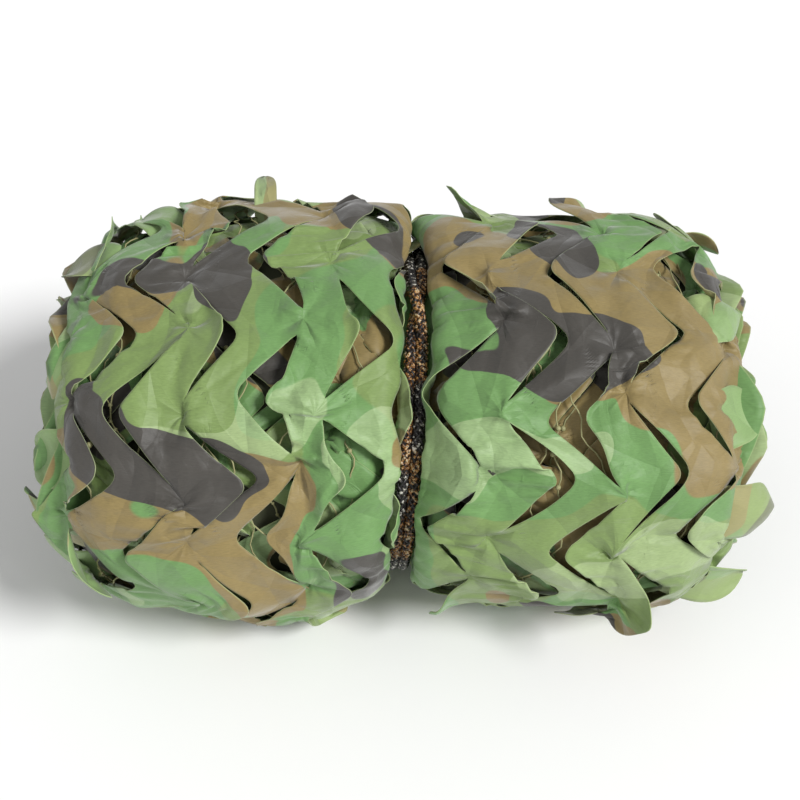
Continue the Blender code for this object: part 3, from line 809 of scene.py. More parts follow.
def mesh_from_grid_faces(name, points, flat, cut, quads, from_bridge=None):
    """A mesh of the used points only, with the print's coordinates and the cut edges marked."""
    used, faces = np.unique(quads, return_inverse=True)
    mesh = bpy.data.meshes.new(name)
    mesh.from_pydata(points[used].tolist(), [], faces.reshape(-1, 4).tolist())
    mesh.shade_smooth()
    for material in (cloth_face, cloth_back, cloth_edge):
        mesh.materials.append(material)
    edge = mesh.attributes.new("cut_edge", "FLOAT", "POINT")
    edge.data.foreach_set("value", cut[used].astype(np.float32))
    if from_bridge is not None:
        bridge = mesh.attributes.new("from_bridge", "FLOAT_VECTOR", "POINT")
        bridge.data.foreach_set("vector", from_bridge[used].astype(np.float32).reshape(-1))
    layer = mesh.uv_layers.new(name="flat")
    corner_point = np.empty(len(mesh.loops), np.int32)
    mesh.loops.foreach_get("vertex_index", corner_point)
    layer.data.foreach_set("uv", flat[used][corner_point].astype(np.float32).reshape(-1))
    return new_object(name, mesh)


def counted(shape):
    """A grid's points by number."""
    return np.arange(int(np.prod(shape))).reshape(shape)


def grid_quads(index):
    """The faces between neighbouring columns and rows, turned so that they look outwards."""
    corners = (index[:, :-1, :-1], index[:, 1:, :-1], index[:, 1:, 1:], index[:, :-1, 1:])
    return np.stack(corners, axis=-1)


def sheet_mesh(name, points, plan, strips=slice(None), print_offset=(0.0, 0.0)):
    shape = points.shape[:3]
    index = counted(shape)
    shared = ~plan["slit"][1:-1]
    index[1:, 0][shared] = index[:-1, -1][shared]
    cut = np.zeros(shape)
    cut[:, 0][plan["slit"][:-1]] = 1.0
    cut[:, -1][plan["slit"][1:]] = 1.0
    cut[0, 0] = cut[-1, -1] = 1.0
    cut[:, :, 0] = cut[:, :, -1] = 1.0
    quads = grid_quads(index)[strips].reshape(-1, 4)
    turn = np.broadcast_to(plan["turn"], shape)
    flat = np.stack((plan["along"] + plan["shift"], turn * MEAN_RADIUS), axis=-1) + print_offset
    return mesh_from_grid_faces(
        name,
        points.reshape(-1, 3),
        flat.reshape(-1, 2),
        cut.reshape(-1),
        quads,
        plan["from_bridge"].reshape(-1, 3),
    )


# %% Thickness, and a plain mesh
def apply_modifiers(thing):
    """Turns an object with modifiers into one plain mesh."""
    graph = bpy.context.evaluated_depsgraph_get()
    made = bpy.data.meshes.new_from_object(
        thing.evaluated_get(graph), preserve_all_data_layers=True, depsgraph=graph
    )
    old = thing.data
    thing.modifiers.clear()
    thing.data = made
    bpy.data.meshes.remove(old)
    made.name = thing.name
    return thing


def triangles(thing):
    thing.data.calc_loop_triangles()
    return len(thing.data.loop_triangles)


def finer_and_thicker(thing, thickness, levels=1):
    if levels:
        finer = thing.modifiers.new("finer", "SUBSURF")
        finer.levels = finer.render_levels = levels
    wall = thing.modifiers.new("wall", "SOLIDIFY")
    wall.thickness = thickness
    wall.offset = -1.0
    wall.material_offset = 1
    wall.material_offset_rim = 2
    return apply_modifiers(thing)


# %% [markdown]
# ## One turn of the net on the roll
# A turn starts as the flat plan laid on the skin. Beside the tie the cloth bulges in over the groove, and
# behind the top it shuts over it. Then the sheet settles twice: roughly, and again with the spacing of
# its points halved, which is quicker than settling the fine sheet from the start.

# %% The bed of a turn
CLOTH_THICKNESS = 0.0005
LEAN = 0.0095  # beside the tie the cloth leans in over it by this much
LEAN_RISE = 0.002  # and stands this much higher there
SHUT_LEAN = 0.0050  # over the far side of the top it leans in by this much more
SHUT_RISE = 0.0110  # and stands this much higher
SHUT_ROUND = np.radians((98, 122, 146, 164))  # where that starts, is full, starts to end, and ends
BACK_ROUND = np.radians((138, 160, 250, 290))  # the same for the back, where the cloth leans in less
BACK_LEAN = 0.75  # by this share


def spiral_height(along, turn, first_turn):
    """The outer turn climbs slowly from where it starts to its loose edge."""
    off_tie = smooth_step(np.abs(along - WAIST), *EVEN_BY_TIE)
    return LOOSE_EDGE_STEP * off_tie * ((turn - first_turn) / (2.0 * math.pi) - 0.5)


def beside_tie(along, turn):
    """How far the cloth bulges towards the tie, over the front, and shuts over it behind the top."""
    off = np.abs(along - WAIST)
    beside = smooth_step(off, 0.013, 0.027) * (1.0 - smooth_step(off, 0.036, 0.100))
    turn = turn % (2.0 * math.pi)
    shut, at_back = (
        smooth_step(turn, *places[:2]) * (1.0 - smooth_step(turn, *places[2:]))
        for places in (SHUT_ROUND, BACK_ROUND)
    )
    leaning = smooth_step(np.sin(turn), -0.80, -0.35) * (1.0 - BACK_LEAN * at_back)
    return beside * leaning, beside * shut


def resting_place(plan, base, spiral_start):
    """The smooth bed of a turn, and the way out of it."""
    along = plan["along"]
    turn = np.broadcast_to(plan["turn"], along.shape)
    off_waist = smooth_step(np.abs(along - WAIST), 0.008, 0.030)
    leaning, shut = beside_tie(along, turn)
    height = base[0] + (base[1] - base[0]) * off_waist + SHUT_RISE * shut + LEAN_RISE * leaning
    if spiral_start is not None:
        height = height + spiral_height(along, turn, spiral_start)
    normal = outward(along, turn)
    bed = skin(along, turn) + normal * height[..., None]
    bed[..., 0] -= (LEAN * leaning + SHUT_LEAN * shut) * np.sign(along - WAIST)
    return bed, normal


# %% What the cloth is pulled towards
DIMPLE = -0.0026  # the string pulls each bridge down to here
BRIDGE_SPREAD = 0.0050  # and holds it about this far off its even place
STRING_HOLD = 0.25  # share of the way that one round pulls a bridge back
TIE_HOLD = 0.5  # the same under the tie
UNDER_TIE = 0.009  # over the cloth from the tie: nearer than this it is held by the tie
BY_TIE = 0.045  # and nearer than this it has to be kept clear of the strands
SLACK, WAIST_SLACK = 1.030, 0.06  # the cloth round the roll is this much longer than the roll is
TIP_SPRING = 0.08  # share of the way that one round lifts a leaf
CLOTH_SPRING, WAIST_SPRING = 0.012, 0.05  # the same for the rest of the cloth


def goals(plan, bed, normal, lifts, puff, gape, floor):
    """The heights the cloth wants, and what holds it: the string at each bridge, and the tie."""
    along = plan["along"]
    off_tie = np.abs(along - WAIST)
    height, least = leaf_heights(plan, lifts, puff, gape)
    hold = np.zeros(along.shape)
    held_at = bed.copy()
    bridges = (np.abs(plan["off_bend"]) > 0.46) & (plan["calm"][:, None] > CUT_FROM)
    aside = plan["rng"].normal(0.0, BRIDGE_SPREAD, (len(plan["lines"]), plan["bridge"].max() + 1, 3))
    aside = aside[np.arange(len(plan["lines"]))[:, None], plan["bridge"]]
    hold[:, 0][bridges[:-1]] = STRING_HOLD
    hold[:, -1][bridges[1:]] = STRING_HOLD
    held_at[:, 0] += aside[:-1] + normal[:, 0] * DIMPLE
    held_at[:, -1] += aside[1:] + normal[:, -1] * DIMPLE
    under_tie = off_tie < UNDER_TIE
    by_tie = off_tie < BY_TIE
    near_waist = 1.0 - smooth_step(off_tie, 0.02, 0.09)
    slow_spring = CLOTH_SPRING + WAIST_SPRING * near_waist**4
    return {
        "beside_tie": by_tie,
        "off_tie": off_tie[by_tie],
        "tie_frame": tie_frame(np.broadcast_to(plan["turn"], along.shape)[by_tie]),
        "slack": SLACK + WAIST_SLACK * near_waist,
        "bed": bed,
        "normal": normal,
        "height": height,
        "least": np.where(under_tie, 0.0, least),
        "spring": np.where(height > puff * 1.2, TIP_SPRING, slow_spring),
        "hold": np.where(under_tie, TIE_HOLD, hold)[..., None],
        "held_at": np.where(under_tie[..., None], bed, held_at),
        "floor": floor,
    }


# %% Settling on the roll
FIRST_UNEVENNESS = 0.0006  # random, so that no fold is balanced on its edge


def twice_as_fine(field):
    """Halves the spacing of a grid of strips x columns x rows."""
    for axis in (1, 2):
        first = np.take(field, range(field.shape[axis] - 1), axis)
        second = np.take(field, range(1, field.shape[axis]), axis)
        middle = 0.5 * (first + second)
        shape = list(field.shape)
        shape[axis] = 2 * shape[axis] - 1
        wide = np.empty(shape)
        wide[(slice(None),) * axis + (slice(0, None, 2),)] = field
        wide[(slice(None),) * axis + (slice(1, None, 2),)] = middle
        field = wide
    return field


def rolled_net(plan_settings, base, floor, lifts, puff, gape, rounds, spiral_start=None):
    """Puts a cut sheet on the roll and lets it settle, first roughly and then twice as fine."""
    plan = cutting_plan(**plan_settings)
    bed, normal = resting_place(plan, base, spiral_start)
    goal = goals(plan, bed, normal, lifts, puff, gape, floor)
    start = plan["rng"].normal(0.0, FIRST_UNEVENNESS, plan["along"].shape)
    points = bed + normal * (goal["height"] + start)[..., None]
    points = settle(points, plan, goal, rounds[0])
    moved = twice_as_fine(points - bed)
    doubled = {name: 2 * plan_settings[name] for name in ("columns", "rows_per_leaf")}
    plan = cutting_plan(**{**plan_settings, **doubled})
    bed, normal = resting_place(plan, base, spiral_start)
    goal = goals(plan, bed, normal, lifts, puff, gape, floor)
    points = settle(bed + moved, plan, goal, rounds[1])
    return points, plan


# %% The outer turn
ROUNDS = ((260, 50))
OUTER_LIFTS = (
    # share of the leaves from, to, least lift, most lift
    (0.00, 0.55, 0.0010, 0.0045),
    (0.55, 0.86, 0.0060, 0.0120),
    (0.86, 1.01, 0.0140, 0.0220),
)
outer_points, outer_plan = rolled_net(
    {
        "first_turn": LOOSE_EDGE_ROUND - math.radians(20),
        "leaves": 9.5,
        "columns": 9,
        "rows_per_leaf": 18,
        "seed": 5,
    },
    base=(-0.0010, -0.0040),
    floor=0.0008,
    lifts=OUTER_LIFTS,
    puff=0.0034,
    gape=0.018,
    rounds=ROUNDS,
    spiral_start=LOOSE_EDGE_ROUND,
)
LEFT_STRIPS = outer_plan["lines"][:-1] < -1
outer_left = sheet_mesh("outer_net_left", outer_points, outer_plan, LEFT_STRIPS)
outer_right = sheet_mesh("outer_net_right", outer_points, outer_plan, ~LEFT_STRIPS)
print("outer turn:", outer_points.shape, "points")
for half in (outer_left, outer_right):
    finer_and_thicker(half, CLOTH_THICKNESS, levels=0)
    print(half.name, triangles(half), "triangles")

# %% The turn below it
UNDER_LIFTS = (
    # share of the leaves from, to, least lift, most lift
    (0.00, 0.60, 0.0010, 0.0030),
    (0.60, 1.01, 0.0030, 0.0050),
)
under_points, under_plan = rolled_net(
    {
        "first_turn": math.radians(180),
        "leaves": 9.25,
        "columns": 6,
        "rows_per_leaf": 12,
        "shift": 0.013,
        "seed": 23,
    },
    base=(-0.0028, -0.0142),
    floor=0.0020,
    lifts=UNDER_LIFTS,
    puff=0.0020,
    gape=0.014,
    rounds=ROUNDS,
)
under_net = sheet_mesh("under_net", under_points, under_plan, print_offset=(0.055, 0.085))
finer_and_thicker(under_net, CLOTH_THICKNESS, levels=0)
print("turn below:", triangles(under_net), "triangles")

# %% [markdown]
# ## The imported turns inside
# Deeper turns show only as darkness between the leaves, so they are one closed body a little smaller
# than the roll, in a plain dark colour that is painted shade. It also stops light and sight from passing
# through the bundle.

# %% The closed inside of the roll
PACKED_DEPTH = (-0.0045, -0.0145)  # under the smooth cloth at the tie, and how much more elsewhere
PACKED_FOLD = 0.0012
LEAST_HIGH = 0.004  # over the floor


def packed_body(steps_along=90, steps_round=120):
    """The turns that lie too deep to be seen as single sheets, as one closed body."""
    along = np.linspace(0.004, CLOTH_WIDTH - 0.004, steps_along)[:, None]
    turn = np.linspace(0.0, 2.0 * math.pi, steps_round, endpoint=False)[None, :]
    off_waist = smooth_step(np.abs(along - WAIST), 0.008, 0.030)
    depth = PACKED_DEPTH[0] + PACKED_DEPTH[1] * off_waist + 0.006 * beside_tie(along, turn)[1]
    fold = PACKED_FOLD * np.sin(9.0 * turn + 60.0 * along) * np.sin(5.0 * turn - 90.0 * along)
    points = skin(along, turn) + outward(along, turn) * (depth + fold * off_waist)[..., None]
    points[..., 2] = np.maximum(points[..., 2], LEAST_HIGH)
    points = points.reshape(-1, 3).tolist()
    faces = []
    for column in range(steps_along - 1):
        for row in range(steps_round):
            after = (row + 1) % steps_round
            near, far = column * steps_round, (column + 1) * steps_round
            faces.append((near + row, far + row, far + after, near + after))
    for column, side in ((0, -1.0), (steps_along - 1, 1.0)):
        ring = [column * steps_round + row for row in range(steps_round)]
        middle = np.mean([points[index] for index in ring], axis=0)
        middle[0] += side * (END_BULGE - 0.009)
        hub = len(points)
        points.append(middle.tolist())
        for row in range(steps_round):
            pair = (ring[row], ring[(row + 1) % steps_round])
            faces.append((hub, *(pair if side > 0.0 else pair[::-1])))
    mesh = bpy.data.meshes.new("packed_turns")
    mesh.from_pydata(points, [], faces)
    mesh.shade_smooth()
    mesh.materials.append(packed_cloth_in_painted_shade)
    return new_object("packed_turns", mesh)


packed_turns = packed_body()
print("packed turns:", triangles(packed_turns), "triangles")

# %% [markdown]
# ## The spiral at each end
# Seen from the side, a rolled net shows the edges of all its turns, wound in a spiral. One ribbon of
# cloth follows that spiral from the rim to the middle. Its outer edge swings in and out like any cut
# edge of the net, and its inner edge is out of sight.

# %% Wind the ribbons
END_TURNS = 12
RIBBON_DEPTH = 0.022
RIBBON_COLUMNS = 6
RIBBON_STEPS = 84  # round one turn
RIBBON_LEAF = 0.093  # along the ribbon from one leaf to the next
RIBBON_FLARE = 0.0075  # how far a leaf leans off the ribbon at most
RIBBON_HIGH = 0.0012  # least height over the floor


def run_along(path):
    """The distance travelled at each point of a path."""
    return np.concatenate(([0.0], np.cumsum(np.linalg.norm(np.diff(path, axis=0), axis=1))))


def end_ribbon(name, side, seed):
    """The edge of the net at one end, wound from the rim to the middle."""
    rng = np.random.default_rng(seed)
    steps = END_TURNS * RIBBON_STEPS + 1
    turn = np.linspace(0.0, 2.0 * math.pi * END_TURNS, steps)
    share = 0.985 - 0.93 * (turn / turn[-1])
    rim_along = 0.0015 if side < 0.0 else CLOTH_WIDTH - 0.0015
    rim = skin(np.full(steps, rim_along), turn)
    once_round = np.linspace(0.0, 2.0 * math.pi, 90, endpoint=False)
    middle = skin(np.full(90, rim_along), once_round).mean(axis=0)
    spoke = rim - middle
    run = run_along(middle + spoke * share[:, None])
    leaves = run / RIBBON_LEAF
    reach = 0.0085 * swing(leaves + 0.17 * side) + 0.0030 * np.sin(run * 41.0) + 0.0020
    number = np.floor(leaves + 0.5).astype(int)
    flare = rng.uniform(-1.0, 1.0, number.max() + 1)[number] * np.maximum(swing(leaves), 0.0)
    waver = 0.0030 * np.sin(run * 63.0 + seed) + 0.0022 * np.sin(run * 27.0)
    columns = np.linspace(0.0, 1.0, RIBBON_COLUMNS + 1)
    points = np.zeros((RIBBON_COLUMNS + 1, steps, 3))
    away = unit(spoke)
    for column, part in enumerate(columns):
        out = END_BULGE * (1.0 - share**2) + (reach + RIBBON_DEPTH) * part - RIBBON_DEPTH
        aside = waver * part + RIBBON_FLARE * flare * part**3
        points[column] = middle + spoke * share[:, None] + away * aside[:, None]
        points[column, :, 0] += side * out
    points[..., 2] = np.maximum(points[..., 2], RIBBON_HIGH)
    if side < 0.0:
        points, columns = points[::-1], columns[::-1]
    shape = points.shape[:2]
    cut = np.broadcast_to(np.where(columns == 1.0, 1.0, 0.0)[:, None], shape)
    flat = np.broadcast_arrays(side * columns[:, None] * RIBBON_DEPTH, run[None, :])
    flat = np.stack(flat, axis=-1).reshape(-1, 2)
    quads = grid_quads(counted((1, *shape))).reshape(-1, 4)
    ribbon = mesh_from_grid_faces(name, points.reshape(-1, 3), flat, cut.reshape(-1), quads)
    ribbon["flat_length"] = float(run[-1])
    return finer_and_thicker(ribbon, CLOTH_THICKNESS, levels=0)


ribbon_left = end_ribbon("spiral_edge_left", -1.0, seed=31)
ribbon_right = end_ribbon("spiral_edge_right", 1.0, seed=47)
for ribbon in (ribbon_left, ribbon_right):
    print(f"{ribbon.name}: {triangles(ribbon)} triangles, {ribbon['flat_length']:.2f} m long")

# %% [markdown]
# ## Leaves that poke out
# Between the leaves of the outer turn, leaves of the turns below push through and stand up. Each row of
# the table is one of them: where it is rooted, which way it lies, how steeply it stands and its size. The
# solids have leaves at these places too, some a little steeper. Here each also gets a round or pointed
# outline, a bend along its length, a roll across it and a twist, and one round of subdivision.

# %% Standing leaves
LEAF_SINK = 0.0060  # how far under the smooth cloth a steep leaf starts
LEAF_ON_CLOTH = 0.0015  # how far over that a low leaf lies
ROOT_RISE = 50.0  # degrees: how steeply a leaf comes out from under the cloth
STANDING_LEAVES = (
    # x_m, round_deg, heading_deg, rise_deg, length_m, width_m, curl_deg, pointed
    (-0.0915, 122, 96, 64, 0.034, 0.015, 30, 0.0),
    (-0.034, 126, 80, 40, 0.030, 0.030, 60, 0.2),
    (-0.156, 118, 130, 14, 0.030, 0.034, 20, 0.7),
    (-0.192, 100, 165, 10, 0.030, 0.036, 20, 0.6),
    (-0.200, 62, 175, 12, 0.030, 0.036, 20, 0.8),
    (-0.204, 30, 200, 24, 0.034, 0.036, 20, 0.5),
    (-0.205, 2, 165, 36, 0.038, 0.036, 20, 0.6),
    (-0.202, -22, 200, 34, 0.038, 0.036, 20, 0.3),
    (-0.186, -38, 215, 30, 0.040, 0.036, 20, 0.7),
    (-0.120, -44, 260, 26, 0.034, 0.038, 20, 0.8),
    (-0.056, -40, 290, 24, 0.034, 0.034, 15, 0.4),
    (0.040, -46, 255, 26, 0.036, 0.034, 15, 0.3),
    (0.122, -44, 280, 28, 0.038, 0.036, 20, 0.9),
    (0.182, -20, 336, 34, 0.044, 0.038, 20, 0.4),
    (0.194, 12, 350, 40, 0.046, 0.036, 25, 0.0),
    (0.194, 44, 15, 22, 0.032, 0.036, 20, 0.6),
    (0.186, 78, 15, 10, 0.030, 0.036, 20, 0.7),
    (0.156, 112, 40, 6, 0.024, 0.036, 25, 0.5),
    (0.060, 128, 110, 12, 0.024, 0.036, 30, 0.4),
    (0.188, 140, 0, 24, 0.034, 0.036, 20, 0.6),
    (0.194, 178, 10, 32, 0.036, 0.036, 20, 0.2),
    (0.130, 168, 250, 26, 0.034, 0.036, 20, 0.7),
    (-0.140, 166, 280, 26, 0.034, 0.036, 20, 0.5),
    (-0.200, 144, 180, 26, 0.034, 0.036, 20, 0.3),
    (-0.203, 184, 170, 34, 0.036, 0.036, 20, 0.6),
    (-0.194, 216, 190, 32, 0.034, 0.036, 20, 0.8),
    (0.188, 214, 350, 34, 0.034, 0.036, 20, 0.4),
)
LEAF_LONG, LEAF_ACROSS = 10, 7  # faces along and across a leaf
LEAF_ROOT = 0.35  # share of its length that a leaf goes on under the cloth
LEAF_HIGH = 0.0010  # least height over the floor
ROUND_TIP = 0.55  # from this share of its length on, a leaf rounds off


def standing_leaf(row, rng):
    """One tongue of cloth as a grid of points, its length along the first axis."""
    x, round_deg, heading_deg, rise_deg, length, width, curl_deg, point_share = row
    turn = np.float64(math.radians(round_deg))
    along = np.float64(np.interp(x - TIE_X, MERIDIAN[:, 0], ALONG))
    normal = Vector(outward(along, turn))
    sink = LEAF_SINK * min(1.0, rise_deg / 28.0) - LEAF_ON_CLOTH
    root = Vector(skin(along, turn)) - normal * sink
    over = Vector(skin(along + 0.002, turn) - skin(along - 0.002, turn)).normalized()
    around = normal.cross(over)
    heading = math.radians(heading_deg)
    forward = over * math.cos(heading) + around * math.sin(heading)
    sideways = normal.cross(forward)
    rolled = rng.uniform(-0.7, 0.7)
    twist = rng.uniform(-0.35, 0.35)
    lean = rng.uniform(-0.4, 0.4)
    points = []
    place, before = root, 0.0
    for step in range(LEAF_LONG + 1):
        share = -LEAF_ROOT + (1.0 + LEAF_ROOT) * step / LEAF_LONG
        way_out = max(ROOT_RISE - rise_deg, 0.0) * min(max(-share / 0.12, 0.0), 1.0)
        bend = math.radians(rise_deg + way_out - curl_deg * max(share, 0.0) * 1.6)
        direction = forward * math.cos(bend) + normal * math.sin(bend)
        if step:
            place = place + direction * length * (share - before)
        else:
            place = root + direction * length * share
        before = share
        turned = sideways * math.cos(twist * share) + normal * math.sin(twist * share)
        thick = direction.cross(turned)
        past = max(share - ROUND_TIP, 0.0) / (1.0 - ROUND_TIP)
        rounded = math.sqrt(max(1.0 - past**2, 0.03))
        pointed = min(1.0, (1.02 - share) / 0.62)
        half = width / 2.0 * (rounded + (pointed - rounded) * point_share)
        for across in range(LEAF_ACROSS + 1):
            part = 2.0 * across / LEAF_ACROSS - 1.0
            rise = rolled * half * (part**2 - 0.3) * max(share, 0.0)
            over_it = half * part + 0.5 * width * lean * max(share, 0.0)
            points.append(place + turned * over_it + thick * rise)
    return np.array(points)


def standing_leaves():
    rng = np.random.default_rng(77)
    shape = (len(STANDING_LEAVES), LEAF_LONG + 1, LEAF_ACROSS + 1)
    points = np.stack([standing_leaf(row, rng).reshape(shape[1:] + (3,)) for row in STANDING_LEAVES])
    points[..., 2] = np.maximum(points[..., 2], LEAF_HIGH)
    cut = np.zeros(shape)
    cut[:, -1] = cut[:, :, 0] = cut[:, :, -1] = 1.0
    length_share = np.linspace(0.0, 1.0, shape[1])[None, :, None]
    across_share = np.linspace(0.0, 1.0, shape[2])[None, None, :]
    start = rng.uniform(0.0, 2.0, (shape[0], 1, 1))
    flat = np.broadcast_arrays(start + 0.05 * length_share, 3.0 * start + 0.036 * across_share)
    flat = np.stack(flat, axis=-1)
    quads = grid_quads(counted(shape)).reshape(-1, 4)[:, ::-1]
    leaves = mesh_from_grid_faces(
        "standing_leaves", points.reshape(-1, 3), flat.reshape(-1, 2), cut.reshape(-1), quads
    )
    return finer_and_thicker(leaves, CLOTH_THICKNESS)


loose_leaves = standing_leaves()
print("standing leaves:", triangles(loose_leaves), "triangles")

# %% [markdown]
# ## The tie
# The cord is a braid of eight mottled yarns round a dark core. A texture could fake the braid, but its
# edge would stay smooth. Here Geometry Nodes lay each yarn round the cord's own path: four turn one way,
# four the other, and each goes over one and under the next.

# %% The path of the cord
KNOT_ROUND = 228  # degrees round the roll, low on the back
KNOT_STRANDS = {
    "under_pass": (
        # along, out, across, in strand radii
        (-2.2, 0.1, 1.1),
        (-1.6, 1.3, 1.3),
        (0.0, 1.8, 0.0),
        (1.6, 1.3, -1.3),
        (2.2, 0.1, -1.1),
    ),
    "over_pass": (
        # along, out, across
        (-1.8, 0.2, -1.4),
        (-1.4, 1.9, -1.3),
        (0.0, 3.3, 0.0),
        (1.4, 1.9, 1.3),
        (1.8, 0.2, 1.4),
    ),
    "short_end_above": (
        # along, out, across
        (0.6, 2.0, -0.5),
        (2.6, 2.3, -0.9),
        (4.4, 1.9, -0.7),
        (6.2, 1.8, -0.9),
    ),
    "short_end_below": (
        # along, out, across
        (-0.6, 2.0, 0.5),
        (-2.6, 2.3, 0.9),
        (-4.2, 1.9, 0.8),
        (-5.8, 1.8, 0.9),
    ),
}
YARN_PITCH = 0.021  # of the cord's length in which a yarn goes once round it
POINTS_A_PITCH = 16


def at_distance(even, run, path):
    """The points of a path at these distances along it."""
    return np.stack([np.interp(even, run, path[:, axis]) for axis in range(3)], axis=-1)


def cord_loop():
    """Two rounds of one cord as points evenly spaced along it, with the way out at each point."""
    rounds = np.linspace(0.0, 4.0 * math.pi, 6001)
    middle, _, out, across, twist = tie_frame(rounds % (2.0 * math.pi))
    side = np.where(rounds < 2.0 * math.pi, 1.0, -1.0)[:, None]
    turned = across * np.cos(twist)[:, None] + out * np.sin(twist)[:, None]
    path = middle + side * turned * STRAND_SPACING / 2.0
    path[-1] = path[0]
    run = run_along(path)
    pitches = round(run[-1] / YARN_PITCH)
    even = np.linspace(0.0, run[-1], pitches * POINTS_A_PITCH, endpoint=False)
    return at_distance(even, run, path), at_distance(even, run, out), even / run[-1] * pitches, run[-1]


def smooth_line(corners, steps=24):
    """A smooth line through all the corners."""
    padded = np.concatenate((2 * corners[:1] - corners[1:2], corners, 2 * corners[-1:] - corners[-2:-1]))
    share = np.linspace(0.0, 1.0, steps, endpoint=False)[:, None]
    pieces = []
    for start in range(len(corners) - 1):
        before, first, second, after = padded[start : start + 4]
        bend = (2 * before - 5 * first + 4 * second - after) * share**2
        turn_back = (3 * first - before - 3 * second + after) * share**3
        pieces.append(0.5 * (2 * first + (second - before) * share + bend + turn_back))
    return np.concatenate((*pieces, corners[-1:]))


def knot_path(offsets):
    """One strand of the knot as a smooth line of evenly spaced points."""
    middle, forward, out, across = (
        part[0] for part in tie_frame(np.array([math.radians(KNOT_ROUND)]))[:4]
    )
    offsets = np.array(offsets) * STRAND_RADIUS
    corners = middle + offsets[:, :1] * forward + offsets[:, 1:2] * out + offsets[:, 2:] * across
    path = smooth_line(corners)
    run = run_along(path)
    count = max(int(run[-1] / YARN_PITCH * POINTS_A_PITCH), 8)
    even = np.linspace(0.0, run[-1], count)
    place = at_distance(even, run, path)
    return place, np.broadcast_to(out, place.shape), even / YARN_PITCH, run[-1]


loop_place, loop_out, loop_pitch, CORD_LOOP_LENGTH = cord_loop()
print(f"the cord's two rounds: {CORD_LOOP_LENGTH:.3f} m, {loop_pitch[-1]:.0f} pitches of its braid")


# %% A guide mesh that carries the way out and the place in the braid
def guide_mesh(name, lines):
    """Lines of points as one mesh of edges. Each line is (points, out, pitch, closed)."""
    points, edges, outs, pitches, start = [], [], [], [], 0
    for place, out, pitch, closed in lines:
        count = len(place)
        points.extend(place.tolist())
        outs.extend(np.asarray(out).reshape(-1).tolist())
        pitches.extend(np.asarray(pitch).tolist())
        edges.extend((start + step, start + step + 1) for step in range(count - 1))
        if closed:
            edges.append((start + count - 1, start))
        start += count
    mesh = bpy.data.meshes.new(name)
    mesh.from_pydata(points, edges, [])
    mesh.attributes.new("out", "FLOAT_VECTOR", "POINT").data.foreach_set("vector", outs)
    mesh.attributes.new("pitch", "FLOAT", "POINT").data.foreach_set("value", pitches)
    return new_object(name, mesh)


# %% A short way to write geometry trees
def guided_tree(name, result, inputs):
    """A tree for a modifier: a guide goes in, with sizes by name, and a mesh comes out."""
    tree = bpy.data.node_groups.new(name, "GeometryNodeTree")
    tree.interface.new_socket("Guide", in_out="INPUT", socket_type="NodeSocketGeometry")
    for label, value in inputs.items():
        kind = "NodeSocketInt" if isinstance(value, int) else "NodeSocketFloat"
        tree.interface.new_socket(label, in_out="INPUT", socket_type=kind).default_value = value
    tree.interface.new_socket(result, in_out="OUTPUT", socket_type="NodeSocketGeometry")
    return tree, tree.nodes.new("NodeGroupInput").outputs


def read_field(tree, name, data_type="FLOAT"):
    named = add_node(tree, "GeometryNodeInputNamedAttribute", {"Name": name}, data_type=data_type)
    return named.outputs["Attribute"]


def stored(tree, geometry, name, value, data_type="FLOAT", domain="POINT"):
    """The same geometry with a value kept on it under a name."""
    inputs = {"Geometry": geometry, "Name": name, "Value": value}
    made = add_node(tree, "GeometryNodeStoreNamedAttribute", inputs, data_type=data_type, domain=domain)
    return made.outputs["Geometry"]


def tube(tree, curve, radius, sides):
    """A round bar along a curve, closed at its ends."""
    ring = add_node(tree, "GeometryNodeCurvePrimitiveCircle", {"Resolution": sides, "Radius": radius})
    inputs = {"Curve": curve, "Profile Curve": ring.outputs["Curve"], "Fill Caps": True}
    return add_node(tree, "GeometryNodeCurveToMesh", inputs).outputs["Mesh"]


def joined_smooth(tree, *parts):
    """All the parts as one real mesh without instances."""
    joined = tree.nodes.new("GeometryNodeJoinGeometry")
    for part in parts:
        tree.links.new(part, joined.inputs[0])
    real = add_node(tree, "GeometryNodeRealizeInstances", {"Geometry": joined.outputs[0]})
    return add_node(tree, "GeometryNodeSetShadeSmooth", {"Geometry": real.outputs[0]}).outputs[0]


def finished(tree, geometry, *looks):
    """Gives each share of the faces its material and ends the tree."""
    for material, where in looks:
        inputs = {"Geometry": geometry, "Material": material, "Selection": where}
        geometry = add_node(tree, "GeometryNodeSetMaterial", inputs).outputs["Geometry"]
    tree.links.new(geometry, tree.nodes.new("NodeGroupOutput").inputs[0])
    return tree


def grow(guide, tree, **values):
    """Puts a node tree on a guide with its inputs set, and turns the result into a plain mesh."""
    modifier = guide.modifiers.new(tree.name, "NODES")
    modifier.node_group = tree
    for item in tree.interface.items_tree:
        if item.item_type == "SOCKET" and item.in_out == "INPUT" and item.name in values:
            modifier[item.identifier] = values[item.name]
    return apply_modifiers(guide)


# %% The braid's tree
YARNS = 8
YARN_RADIUS = 0.00105
BRAID_RADIUS = 0.0027
BRAID_WEAVE = 0.00042  # how far a yarn rises over the one that it crosses


